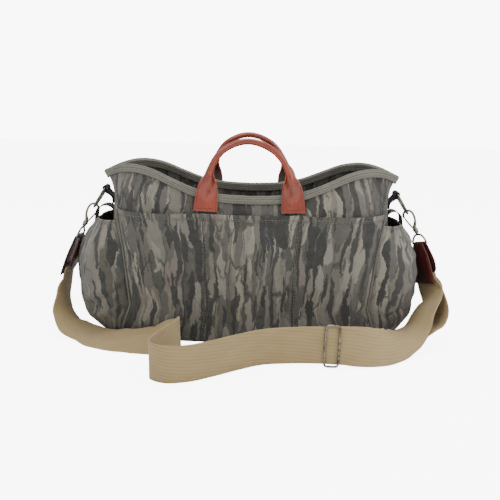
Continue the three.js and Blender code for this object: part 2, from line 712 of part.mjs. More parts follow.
// Shoulder strap on the floor.
// Columns: centre x (in STRAP_UNIT), y and z (in widths of the webbing), then the direction across the
// webbing from its upper to its lower edge.
const STRAP_UNIT = HALF_LENGTH / 4.12;
const STRAP_STATIONS = [
  [-5.24, -0.14, 1.20, -0.03, -1.00, 0.05],
  [-5.24, -0.46, 0.84, -0.16, -0.95, 0.20],
  [-5.12, -0.80, 0.43, -0.40, -0.88, 0.15],
  [-4.82, -1.08, 0.20, -0.50, -0.85, -0.10],
  [-4.34, -1.46, 0.14, -0.35, -0.93, -0.13],
  [-3.92, -1.84, 0.14, -0.06, -0.98, -0.18],
  [-3.30, -2.10, 0.19, 0.06, -0.95, -0.30],
  [-2.55, -2.26, 0.25, 0.06, -0.89, -0.45],
  [-2.05, -2.34, 0.38, 0.00, -0.66, -0.75],
  [-1.76, -2.62, 0.47, 0.10, -0.30, -0.95],
  [-1.88, -3.10, 0.50, 0.12, -0.08, -0.99],
  [-2.16, -3.75, 0.50, 0.05, 0.05, -0.99],
  [-2.30, -4.42, 0.50, 0.00, 0.16, -0.98],
  [-1.92, -4.72, 0.50, 0.00, 0.18, -0.98],
  [-1.40, -4.62, 0.50, 0.00, 0.20, -0.98],
  [-0.86, -4.26, 0.50, 0.00, 0.20, -0.98],
  [-0.20, -3.72, 0.50, 0.00, 0.18, -0.98],
  [0.36, -3.36, 0.51, 0.00, 0.15, -0.99],
  [1.10, -3.26, 0.54, 0.00, 0.10, -0.99],
  [1.80, -3.30, 0.58, 0.00, 0.06, -0.99],
  [2.50, -3.28, 0.57, 0.00, 0.08, -0.99],
  [3.18, -3.05, 0.51, 0.00, 0.12, -0.99],
  [3.66, -2.84, 0.48, 0.06, 0.20, -0.97],
  [4.10, -2.42, 0.48, 0.34, 0.45, -0.80],
  [4.44, -1.94, 0.57, 0.70, 0.42, -0.52],
  [4.76, -1.42, 0.76, 0.93, 0.14, 0.02],
  [5.04, -0.86, 1.00, 0.74, -0.64, 0.20],
  [5.14, -0.44, 1.24, 0.48, -0.86, 0.20],
];
const TAB_INSET = 13;
const FLOOR_GAP = 0.3;
const STRAP_STEPS = 120;
const SLIDER_X = HALF_LENGTH / 2;

/** Middle line of the strap from tab to tab, with the direction across it at each control point. */
function strapRoute() {
  const leftAcross = ENDS.left.across.clone();
  const rightAcross = ENDS.right.across.clone();
  const points = [tabPoint('left', TAB_LENGTH - TAB_INSET, 0), tabPoint('left', TAB_LENGTH - 2, 0)];
  const widths = [leftAcross.clone(), leftAcross.clone()];
  for (const [x, y, z, wx, wy, wz] of STRAP_STATIONS) {
    points.push(new THREE.Vector3(x * STRAP_UNIT, y * WEB_WIDTH, z * WEB_WIDTH));
    widths.push(new THREE.Vector3(wx, wy, wz).normalize());
  }
  points.push(tabPoint('right', TAB_LENGTH + 1, 0), tabPoint('right', TAB_LENGTH - TAB_INSET, 0));
  widths.push(rightAcross.clone(), rightAcross.clone());
  return { path: new THREE.CatmullRomCurve3(points, false, 'centripetal'), widths };
}

/** Centre line and width vectors of the webbing at even steps. */
function sampleRoute(route, from, to, count) {
  const { path, widths } = route;
  path.arcLengthDivisions = 1200;
  const last = widths.length - 1;
  const points = [];
  const across = [];
  for (let i = 0; i <= count; i += 1) {
    const at = from + ((to - from) * i) / count;
    const t = path.getUtoTmapping(at);
    points.push(path.getPoint(t));
    const step = Math.min(last - 1, Math.floor(t * last));
    const k = t * last - step;
    const ease = k * k * (3 - 2 * k);
    across.push(widths[step].clone().lerp(widths[step + 1], ease).normalize());
  }
  return { points, across };
}

/** Share of the route where the front run passes a given x. */
function shareAtX(route, x) {
  const { points } = sampleRoute(route, 0.4, 0.9, 500);
  const index = points.findIndex((point) => point.x > x);
  return 0.4 + (0.5 * index) / 500;
}

/** One webbing: the single run, then the layer that turns in the right tab and comes back. */
function strapWebbing() {
  const route = strapRoute();
  const single = sampleRoute(route, 0, 1, STRAP_STEPS);
  const doubleEnd = shareAtX(route, SLIDER_X + 2);
  const normalAt = (points, across, i) => {
    const tangent = points[Math.min(points.length - 1, i + 1)].clone()
      .sub(points[Math.max(0, i - 1)]).normalize();
    return tangent.cross(across[i]).normalize();
  };
  const apart = (at) => {
    const start = THREE.MathUtils.smoothstep(at, doubleEnd - 0.05, doubleEnd);
    const belly = Math.max(0, Math.sin(Math.PI * THREE.MathUtils.smoothstep(at, 0.8, 0.975))) ** 1.5;
    return start * (WEB_CLOTH / 2 + 0.35) + 2.2 * belly;
  };
  const first = [];
  const second = [];
  single.points.forEach((point, i) => {
    const at = i / STRAP_STEPS;
    const normal = normalAt(single.points, single.across, i);
    first.push(point.clone().addScaledVector(normal, -apart(at)));
    if (at > doubleEnd) second.push({ point: point.clone().addScaledVector(normal, apart(at)), i });
  });
  const points = [...first];
  const across = [...single.across];
  const end = single.points.length - 1;
  const normal = normalAt(single.points, single.across, end);
  const tangent = single.points[end].clone().sub(single.points[end - 1]).normalize();
  const reach = WEB_CLOTH / 2 + 0.35;
  for (const angle of [-45, 0, 45]) {
    const a = THREE.MathUtils.degToRad(angle);
    points.push(single.points[end].clone()
      .addScaledVector(normal, reach * Math.sin(a))
      .addScaledVector(tangent, reach * Math.cos(a)));
    across.push(single.across[end].clone());
  }
  for (let n = second.length - 1; n >= 0; n -= 1) {
    points.push(second[n].point);
    across.push(single.across[second[n].i]);
  }
  const sections = strapSections(points, across, WEB_WIDTH, WEB_CLOTH);
  for (const section of sections) {
    const lift = FLOOR_GAP - Math.min(...section.map((corner) => corner.z));
    if (lift > 0) section.forEach((corner) => corner.setZ(corner.z + lift));
  }
  return loft(sections);
}
addPiece('strap_webbing', strapWebbing(), COLORS.khaki, 0.95);

// Slider: a wire frame in front of the webbing, round its edges
function strapSlider() {
  const route = strapRoute();
  const share = shareAtX(route, SLIDER_X);
  const { points, across } = sampleRoute(route, share, share + 0.006, 1);
  const tangent = points[1].clone().sub(points[0]).normalize();
  const down = across[0].clone().addScaledVector(tangent, -across[0].dot(tangent)).normalize();
  const front = tangent.clone().cross(down).normalize();
  if (front.y > 0) front.negate();
  const origin = points[0].clone().addScaledVector(front, WEB_CLOTH + 2.2);
  const frame = roundedPath(SLIDER_WIDTH, SLIDER_HEIGHT - 2.4, 3);
  return flatWire(origin, tangent, down, frame, 1.2, { loop: true });
}
addPiece('strap_slider', strapSlider(), COLORS.nickel, 0.35, 1);

export default bag;
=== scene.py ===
"""Looks of an open-topped canvas utility bag: cloth, leather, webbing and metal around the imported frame.

Sizes in the tables are millimetres and every mesh is made in metres.
X runs along the bag, Y to its back and Z up from the floor.
"""

from __future__ import annotations

import sys
import logging
import math
from dataclasses import dataclass, field
from enum import Enum
from typing import Callable, Sequence

import bpy
import numpy as np
from mathutils import Euler, Matrix, Vector


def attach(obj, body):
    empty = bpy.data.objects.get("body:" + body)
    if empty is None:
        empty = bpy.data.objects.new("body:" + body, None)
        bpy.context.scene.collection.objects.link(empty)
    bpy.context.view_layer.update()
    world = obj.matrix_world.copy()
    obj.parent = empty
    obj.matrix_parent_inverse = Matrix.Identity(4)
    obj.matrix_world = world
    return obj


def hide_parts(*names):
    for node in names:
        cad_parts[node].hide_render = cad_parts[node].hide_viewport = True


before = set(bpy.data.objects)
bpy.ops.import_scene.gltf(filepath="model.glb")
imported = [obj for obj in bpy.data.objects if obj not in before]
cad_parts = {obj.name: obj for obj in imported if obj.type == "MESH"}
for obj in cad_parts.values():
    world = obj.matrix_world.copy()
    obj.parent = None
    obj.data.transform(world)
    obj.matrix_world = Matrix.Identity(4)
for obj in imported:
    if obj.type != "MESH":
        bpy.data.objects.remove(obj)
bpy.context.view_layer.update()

LOG = logging.getLogger("utility_bag")
MM = 0.001
Array = np.ndarray
Material = bpy.types.Material
Socket = bpy.types.NodeSocket

# Sizes shared by several pieces
HALF_LENGTH = 206.0
HALF_DEPTH = 88.0
RIM_LOW = 200.0
CANVAS = 2.4
POCKET_CLOTH = 1.8
SEAM_GAP = 0.4
POCKET_GAP = 0.9
POCKET_TOP = 179.0
BINDING_DEPTH = 10.0
BINDING_CLOTH = 1.2
WEB_WIDTH = 50.0
WEB_CLOTH = 1.7
HOOK_LENGTH = 37.0
EYE_DROP = 14.0

# Outline of the bag. Columns: share of the rim's height, half length, half depth, corner power, end power.
LEVELS = np.array([
    [0.00, 0.980, 0.880, 3.0, 3.0],
    [0.03, 0.995, 0.900, 3.1, 3.0],
    [0.10, 0.990, 0.925, 3.4, 3.2],
    [0.20, 0.970, 0.955, 3.8, 3.6],
    [0.45, 0.940, 1.000, 4.2, 4.0],
    [0.70, 0.922, 0.990, 4.2, 3.8],
    [0.85, 0.925, 0.950, 4.0, 3.0],
    [0.93, 0.955, 0.900, 3.6, 1.9],
    [1.00, 1.000, 0.865, 3.2, 1.3],
])

# Rim height. Columns: share of the half length, share of the lowest rim.
RIM = np.array([
    [0.00, 1.000], [0.20, 1.010], [0.35, 1.040], [0.49, 1.095], [0.63, 1.155],
    [0.73, 1.178], [0.81, 1.180], [0.90, 1.160], [1.00, 1.115],
])

# Edge of the front pocket panel. Columns: share of the pocket top, share of the half length.
PANEL_EDGE = np.array([[0.0, 0.83], [0.1, 0.82], [0.28, 0.765], [0.5, 0.785], [0.7, 0.806], [1.0, 0.86]])


class Body(Enum):
    """Moving bodies of the frame that a piece can ride on."""

    BAG = "bag"
    GATE_LEFT = "gate_left"
    GATE_RIGHT = "gate_right"


class Side(Enum):
    """The two ends of the bag."""

    LEFT = "left"
    RIGHT = "right"

    @property
    def sign(self) -> float:
        """Direction of the end along X."""
        return -1.0 if self is Side.LEFT else 1.0


# ---------------------------------------------------------------- shapes


def read(table: Array, at: Array | float, col: int = 1) -> Array:
    """Reads a column of a table by straight lines between its rows."""
    return np.interp(at, table[:, 0], table[:, col])


def read_smooth(table: Array, at: Array | float, col: int = 1) -> Array:
    """Reads a column of a table by a cubic through the neighbouring rows.

    Args:
        table: Rows whose first column rises.
        at: Place or places in the first column.
        col: Column to read.

    Returns:
        The value at each place.
    """
    keys, values = table[:, 0], table[:, col]
    last = len(keys) - 1
    ahead = np.minimum(np.arange(last + 1) + 1, last)
    behind = np.maximum(np.arange(last + 1) - 1, 0)
    slopes = (values[ahead] - values[behind]) / (keys[ahead] - keys[behind])
    place = np.asarray(at, dtype=float)
    i = np.clip(np.searchsorted(keys, place), 1, last)
    span = keys[i] - keys[i - 1]
    k = np.clip((place - keys[i - 1]) / span, 0.0, 1.0)
    k2, k3 = k * k, k * k * k
    return (
        (2 * k3 - 3 * k2 + 1) * values[i - 1]
        + (k3 - 2 * k2 + k) * span * slopes[i - 1]
        + (3 * k2 - 2 * k3) * values[i]
        + (k3 - k2) * span * slopes[i]
    )


def unit(vectors: Array) -> Array:
    """Scales vectors to length one."""
    size = np.linalg.norm(vectors, axis=-1, keepdims=True)
    return vectors / np.maximum(size, 1e-12)


def smoothstep(x: Array | float, low: float, high: float) -> Array:
    """Rises smoothly from 0 at low to 1 at high."""
    k = np.clip((np.asarray(x, dtype=float) - low) / (high - low), 0.0, 1.0)
    return k * k * (3 - 2 * k)


def ripple(u: Array, v: Array, seed: int) -> Array:
    """Soft seeded noise over the cloth.

    Args:
        u: First coordinate, one unit to a lump.
        v: Second coordinate, one unit to a lump.
        seed: Number that picks the pattern.

    Returns:
        Values from -1 to 1.
    """
    lattice = np.random.default_rng(seed).uniform(-1.0, 1.0, (64, 64))
    iu, iv = np.floor(u).astype(int), np.floor(v).astype(int)
    fu, fv = u - iu, v - iv
    fu, fv = fu * fu * (3 - 2 * fu), fv * fv * (3 - 2 * fv)
    a, b = lattice[iu % 64, iv % 64], lattice[(iu + 1) % 64, iv % 64]
    c, d = lattice[iu % 64, (iv + 1) % 64], lattice[(iu + 1) % 64, (iv + 1) % 64]
    return (a * (1 - fu) + b * fu) * (1 - fv) + (c * (1 - fu) + d * fu) * fv


def folds(u: Array, v: Array, table: Array) -> Array:
    """Adds up long soft folds of the cloth.

    Args:
        u: Places along the cloth in millimetres.
        v: Heights on the cloth in millimetres.
        table: One row a fold: start u, start v, end u, end v, half width, height.

    Returns:
        How far the cloth moves out at each place, in millimetres.
    """
    total = np.zeros(np.broadcast(u, v).shape)
    for u0, v0, u1, v1, width, height in table:
        du, dv = u1 - u0, v1 - v0
        k = np.clip(((u - u0) * du + (v - v0) * dv) / (du * du + dv * dv), 0.0, 1.0)
        away = np.hypot(u - u0 - k * du, v - v0 - k * dv) / width
        taper = 0.25 + 0.75 * np.sin(np.pi * np.clip(k, 0.02, 0.98)) ** 0.7
        total += height * taper * np.exp(-away * away)
    return total


def spline(points: Array, count: int, closed: bool = False) -> Array:
    """Even points on a centripetal curve through control points.

    Args:
        points: Control points, one a row.
        count: How many points to give back.
        closed: Joins the end to the start.

    Returns:
        The points, without a double at the join of a closed curve.
    """
    control = np.asarray(points, dtype=float)
    if closed:
        control = np.vstack([control[-1], control, control[0], control[1]])
    else:
        control = np.vstack([2 * control[0] - control[1], control, 2 * control[-1] - control[-2]])
    dense = []
    k = np.linspace(0.0, 1.0, 24, endpoint=False)[:, None]
    for i in range(1, len(control) - 2):
        p0, p1, p2, p3 = control[i - 1:i + 3]
        steps = ((p0, p1), (p1, p2), (p2, p3))
        d0, d1, d2 = (max(1e-4, float(np.linalg.norm(b - a)) ** 0.5) for a, b in steps)
        t1 = ((p1 - p0) / d0 - (p2 - p0) / (d0 + d1) + (p2 - p1) / d1) * d1
        t2 = ((p2 - p1) / d1 - (p3 - p1) / (d1 + d2) + (p3 - p2) / d2) * d1
        square, cube = -3 * p1 + 3 * p2 - 2 * t1 - t2, 2 * p1 - 2 * p2 + t1 + t2
        dense.append(p1 + t1 * k + square * k**2 + cube * k**3)
    dense.append(control[-2][None, :])
    line = np.vstack(dense)
    run = run_along(line)
    goal = np.linspace(0.0, run[-1], count + 1 if closed else count)
    if closed:
        goal = goal[:-1]
    return np.stack([np.interp(goal, run, line[:, n]) for n in range(line.shape[1])], axis=1)


def run_along(points: Array) -> Array:
    """Length run from the first point to each point."""
    return np.concatenate([[0.0], np.cumsum(np.linalg.norm(np.diff(points, axis=0), axis=1))])


def tangents(points: Array, closed: bool = False) -> Array:
    """Unit directions along a row of points."""
    if closed:
        return unit(np.roll(points, -1, axis=0) - np.roll(points, 1, axis=0))
    return unit(np.gradient(points, axis=0))


def grid_normals(rows: Array, ring: bool) -> Array:
    """Unit normals of a grid of points.

    Args:
        rows: Grid of points, rows up the cloth and columns along it.
        ring: The columns join end to end.

    Returns:
        One normal a point, out of the bag.
    """
    if ring:
        across = np.roll(rows, -1, axis=1) - np.roll(rows, 1, axis=1)
    else:
        across = np.gradient(rows, axis=1)
    return unit(np.cross(across, np.gradient(rows, axis=0)))


class Stock:
    """Points, faces, cloth coordinates and finishes of one piece before it is made."""

    def __init__(self) -> None:
        """Starts with nothing."""
        self.points: list[Array] = []
        self.faces: list[list[int]] = []
        self.corners: list[Array] = []
        self.finish: list[int] = []
        self.total = 0

    def add(self, points: Array, faces: Sequence[Sequence[int]], corners: Sequence[Array],
            finish: Sequence[int]) -> None:
        """Adds one closed skin, turned so that its faces point out.

        Args:
            points: Points in millimetres.
            faces: Point numbers of each face.
            corners: Cloth coordinates of each face's corners, in millimetres.
            finish: Number of each face's finish.
        """
        volume = 0.0
        for face in faces:
            a = points[face[0]]
            for n in range(1, len(face) - 1):
                volume += float(np.dot(a, np.cross(points[face[n]], points[face[n + 1]])))
        turn = volume < 0
        for face, corner in zip(faces, corners):
            order = list(face)[::-1] if turn else list(face)
            self.faces.append([n + self.total for n in order])
            self.corners.append(corner[::-1] if turn else corner)
        self.finish.extend(int(n) for n in finish)
        self.points.append(points)
        self.total += len(points)

    def grid(self, rows: Array, coords: Array, ring_rows: bool = False, ring_cols: bool = False,
             caps: bool = True, finish: Callable[[int, int], int] | None = None) -> None:
        """Adds a skin over a grid of points.

        Args:
            rows: Grid of points.
            coords: Cloth coordinates, with one more row or column where the grid joins up.
            ring_rows: The last row joins the first.
            ring_cols: The last column joins the first.
            caps: Closes the open ends of a ring with flat faces.
            finish: Gives the finish's number for a face's row and column.
        """
        height, width = rows.shape[:2]
        faces, corners, kinds = [], [], []
        for i in range(height if ring_rows else height - 1):
            up = (i + 1) % height
            for j in range(width if ring_cols else width - 1):
                nxt = (j + 1) % width
                faces.append((i * width + j, i * width + nxt, up * width + nxt, up * width + j))
                corners.append(coords[[i, i, i + 1, i + 1], [j, j + 1, j + 1, j]])
                kinds.append(finish(i, j) if finish else 0)
        if caps and ring_cols and not ring_rows:
            for i, order in ((0, -1), (height - 1, 1)):
                face = [i * width + j for j in range(width)][::order]
                faces.append(face)
                corners.append(coords[i, :width][::order])
                kinds.append(finish(min(i, height - 2), 0) if finish else 0)
        if caps and ring_rows and not ring_cols:
            for j, order in ((0, 1), (width - 1, -1)):
                for i in range(height // 2 - 1):
                    face = [i * width + j, (i + 1) * width + j,
                            (height - 2 - i) * width + j, (height - 1 - i) * width + j][::order]
                    faces.append(face)
                    corners.append(np.repeat(coords[i:i + 1, min(j, coords.shape[1] - 1)], 4, axis=0))
                    kinds.append(0)
        self.add(rows.reshape(-1, 3), faces, corners, kinds)

    def make(self, name: str, finishes: Sequence[Material], sharp: float = 50.0) -> bpy.types.Object:
        """Makes the piece.

        Args:
            name: Name of the piece.
            finishes: Materials by number.
            sharp: Angle in degrees above which an edge stays crisp.

        Returns:
            The new object, in metres.
        """
        mesh = bpy.data.meshes.new(name)
        mesh.from_pydata((np.vstack(self.points) * MM).tolist(), [], self.faces)
        layer = mesh.uv_layers.new(name="cloth")
        layer.data.foreach_set("uv", (np.vstack(self.corners) * MM).ravel())
        mesh.polygons.foreach_set("material_index", self.finish)
        mesh.polygons.foreach_set("use_smooth", [True] * len(self.faces))
        mesh.set_sharp_from_angle(angle=math.radians(sharp))
        for finish in finishes:
            mesh.materials.append(finish)
        mesh.update()
        piece = bpy.data.objects.new(name, mesh)
        bpy.context.scene.collection.objects.link(piece)
        return piece


def thick_cloth(stock: Stock, rows: Array, thickness: float, lift: Array | None = None,
                shift: tuple[float, float] = (0.0, 0.0)) -> None:
    """Adds cloth of a given thickness behind a grid of points, closed all round.

    Args:
        stock: Where the cloth goes.
        rows: Grid of points on the outer face.
        thickness: Thickness of the cloth.
        lift: Cloth coordinates of the grid, or none for its own lengths.
        shift: Offset of the cloth coordinates, so that two panels don't match.
    """
    coords = cloth_coords(rows, shift) if lift is None else lift
    normals = grid_normals(rows, False)
    inner = rows - normals * thickness
    height = len(rows)
    both = np.concatenate([rows, inner[::-1]])
    mirrored = np.concatenate([coords, coords[::-1], coords[:1]])
    stock.grid(both, mirrored, ring_rows=True, finish=lambda i, j: 1 if height <= i < 2 * height - 1 else 0)


def cloth_coords(rows: Array, shift: tuple[float, float] = (0.0, 0.0), ring: bool = False) -> Array:
    """Cloth coordinates of a grid: its mean lengths along the columns and up the rows.

    Args:
        rows: Grid of points.
        shift: Offset of the coordinates.
        ring: Adds a column for the join.

    Returns:
        Two coordinates a point, in millimetres.
    """
    wide = np.concatenate([rows, rows[:, :1]], axis=1) if ring else rows
    along = np.cumsum(np.linalg.norm(np.diff(wide, axis=1), axis=2), axis=1)
    along = np.concatenate([np.zeros((len(wide), 1)), along], axis=1).mean(axis=0)
    up = np.cumsum(np.linalg.norm(np.diff(rows, axis=0), axis=2), axis=0)
    up = np.concatenate([np.zeros((1, rows.shape[1])), up]).mean(axis=1)
    u, v = np.meshgrid(along + shift[0], up + shift[1])
    return np.stack([u, v], axis=-1)


def rod(stock: Stock, points: Array, radius: Array | float, sides: int = 12, closed: bool = False,
        flat: float = 1.0, across: Array | None = None, finish: int = 0) -> None:
    """Adds a round rod along a row of points.

    Args:
        stock: Where the rod goes.
        points: Middle line.
        radius: Radius, one or one a point.
        sides: Sides round the rod.
        closed: Joins the end to the start.
        flat: Radius across the start direction as a share of the radius.
        across: Fixed direction out of the plane of a flat bent rod.
        finish: Number of the finish.
    """
    points = np.asarray(points, dtype=float)
    count = len(points)
    line = tangents(points, closed)
    radii = np.broadcast_to(np.asarray(radius, dtype=float), (count,))
    if across is None:
        side = np.zeros_like(points)
        start = np.cross(line[0], [0.3, 0.2, 1.0])
        side[0] = unit(start)
        for i in range(1, count):
            side[i] = unit(side[i - 1] - np.dot(side[i - 1], line[i]) * line[i])
    else:
        side = unit(np.cross(line, np.broadcast_to(across, points.shape)))
    other = np.cross(line, side)
    angle = np.arange(sides) * 2 * np.pi / sides
    rows = (
        points[:, None, :]
        + (radii[:, None] * flat * np.cos(angle))[..., None] * side[:, None, :]
        + (radii[:, None] * np.sin(angle))[..., None] * other[:, None, :]
    )
    run = run_along(np.vstack([points, points[:1]]) if closed else points)
    girth = 2 * np.pi * float(radii.mean())
    u, v = np.meshgrid(np.linspace(0.0, girth, sides + 1), run)
    stock.grid(rows, np.stack([u, v], axis=-1), ring_rows=closed, ring_cols=True, finish=lambda i, j: finish)


def stitches(stock: Stock, path: Array, normals: Array, pitch: float = 4.6, length: float = 3.3,
             thread: float = 0.42, finish: int = 0) -> None:
    """Adds a row of sewn stitches.

    Args:
        stock: Where the stitches go.
        path: Line of the row on the cloth.
        normals: Normals of the cloth along the line.
        pitch: Distance from one stitch to the next.
        length: Length of a stitch.
        thread: Radius of the thread.
        finish: Number of the finish.
    """
    run = run_along(path)
    shape = np.array([
        [-0.5, -0.5, 0.45], [-0.36, 0.35, 0.95], [0.0, 0.75, 1.1], [0.36, 0.35, 0.95], [0.5, -0.5, 0.45]])
    for middle in np.arange(pitch * 0.6, run[-1] - pitch * 0.4, pitch):
        at = middle + shape[:, 0] * length
        line = np.stack([np.interp(at, run, path[:, n]) for n in range(3)], axis=1)
        up = unit(np.array([np.interp(middle, run, normals[:, n]) for n in range(3)]))
        rod(stock, line + up * (shape[:, 1:2] * thread), shape[:, 2] * thread, sides=6, finish=finish)


@dataclass
class BagOutline:
    """Smooth outer wall of the bag, read at a turn round it and a share of the rim's height."""

    steps: int = 240
    levels: int = 200
    xs: Array = field(init=False)
    ys: Array = field(init=False)

    def __post_init__(self) -> None:
        """Lays out a quarter of the outline at even lengths for every level."""
        share = np.linspace(0.0, 1.0, self.levels + 1)
        back = 1 - np.linspace(0.0, 1.0, 900)
        q = np.sin((np.pi / 2) * (1 - back * back))
        even = np.linspace(0.0, 1.0, self.steps + 1)
        self.xs = np.zeros((self.levels + 1, self.steps + 1))
        self.ys = np.zeros_like(self.xs)
        for n, s in enumerate(share):
            length, depth, corner, end = (float(read_smooth(LEVELS, s, c)) for c in (1, 2, 3, 4))
            x = HALF_LENGTH * length * q
            y = -HALF_DEPTH * depth * np.maximum(0.0, 1 - q**corner) ** (1 / end)
            run = run_along(np.stack([x, y], axis=1))
            self.xs[n] = np.interp(even * run[-1], run, x)
            self.ys[n] = np.interp(even * run[-1], run, y)

    def quarter(self, share: Array, along: Array) -> tuple[Array, Array]:
        """Point of a quarter, from the front's middle (0) to the end's middle (1).

        Args:
            share: Share of the rim's height.
            along: Share of the quarter's length.

        Returns:
            X and the (negative) Y of each place.
        """
        s = np.clip(np.asarray(share, dtype=float), 0.0, 1.0) * self.levels
        a = np.clip(np.asarray(along, dtype=float), 0.0, 1.0) * self.steps
        s, a = np.broadcast_arrays(s, a)
        si = np.minimum(s.astype(int), self.levels - 1)
        ai = np.minimum(a.astype(int), self.steps - 1)
        fs, fa = s - si, a - ai

        def blend(grid: Array) -> Array:
            """Reads one coordinate between the four nearest table places."""
            low = grid[si, ai] * (1 - fa) + grid[si, ai + 1] * fa
            high = grid[si + 1, ai] * (1 - fa) + grid[si + 1, ai + 1] * fa
            return low * (1 - fs) + high * fs

        return blend(self.xs), blend(self.ys)

    def rim_height(self, along: Array) -> Array:
        """Height of the rim along a quarter."""
        x, _ = self.quarter(1.0, along)
        return RIM_LOW * read_smooth(RIM, np.minimum(1.0, x / HALF_LENGTH))

    def along(self, turn: Array) -> tuple[Array, Array, Array]:
        """Place on a quarter for a turn, with the signs of X and Y."""
        turn = np.asarray(turn, dtype=float)
        quarter = np.mod(np.floor(turn), 4)
        part = turn - np.floor(turn)
        along = np.where(quarter % 2 == 0, part, 1 - part)
        sign_x = np.where((quarter == 0) | (quarter == 1), 1.0, -1.0)
        sign_y = np.where((quarter == 0) | (quarter == 3), 1.0, -1.0)
        return along, sign_x, sign_y

    def wall(self, turn: Array, share: Array) -> Array:
        """Outer surface of the wall.

        Args:
            turn: 0 to 4 round the bag from the front's middle over the right end.
            share: Share of the rim's height there.

        Returns:
            The points, in millimetres.
        """
        turn, share = np.broadcast_arrays(np.asarray(turn, dtype=float), np.asarray(share, dtype=float))
        along, sign_x, sign_y = self.along(turn)
        x, y = self.quarter(share, along)
        x, y = sign_x * x, sign_y * y
        calm = np.where(along < 0.72, 1 - (along / 0.72) ** 4, 0.0)
        fade = np.maximum(0.0, np.sin(np.pi * np.clip(share, 0.0, 1.0))) ** 0.7
        slack = fade * (1.3 * np.sin(x / 23 + share * 2.1) + 0.9 * np.sin(x / 11 - share * 3.7 + y / 30))
        return np.stack([x, y - sign_y * calm * slack, share * self.rim_height(along)], axis=-1)

    def normal(self, turn: Array, share: Array) -> Array:
        """Normal of the wall, pointing out."""
        turn, share = np.broadcast_arrays(np.asarray(turn, dtype=float), np.asarray(share, dtype=float))
        across = self.wall(turn + 0.012, share) - self.wall(turn - 0.012, share)
        low, high = np.maximum(0.001, share - 0.02), np.minimum(1.0, share + 0.02)
        return unit(np.cross(across, self.wall(turn, high) - self.wall(turn, low)))

    def share_at(self, turn: Array, height: Array) -> Array:
        """Share of the rim's height that gives a height in millimetres."""
        along, _, _ = self.along(turn)
        return np.asarray(height, dtype=float) / self.rim_height(along)

    def off_wall(self, turn: Array, height: Array, distance: Array) -> Array:
        """Points off the wall by a level distance, at a turn and a height."""
        share = self.share_at(turn, height)
        out = self.normal(turn, share)
        out[..., 2] = 0.0
        return self.wall(turn, share) + unit(out) * np.asarray(distance, dtype=float)[..., None]

    def turn_at(self, height: float, x: float) -> float:
        """Turn of the front right quarter at a height and an x."""
        along = 0.5
        for _ in range(5):
            share = float(np.clip(height / self.rim_height(along), 0.0, 1.0))
            row, _ = self.quarter(share, np.linspace(0.0, 1.0, self.steps + 1))
            along = float(np.interp(x, row, np.linspace(0.0, 1.0, self.steps + 1)))
        return along


# ---------------------------------------------------------------- finishes


def tint(code: str) -> tuple[float, float, float, float]:
    """Linear colour of a six-digit screen colour."""
    parts = (int(code[n:n + 2], 16) / 255 for n in (0, 2, 4))
    red, green, blue = (p / 12.92 if p <= 0.04045 else ((p + 0.055) / 1.055) ** 2.4 for p in parts)
    return (red, green, blue, 1.0)


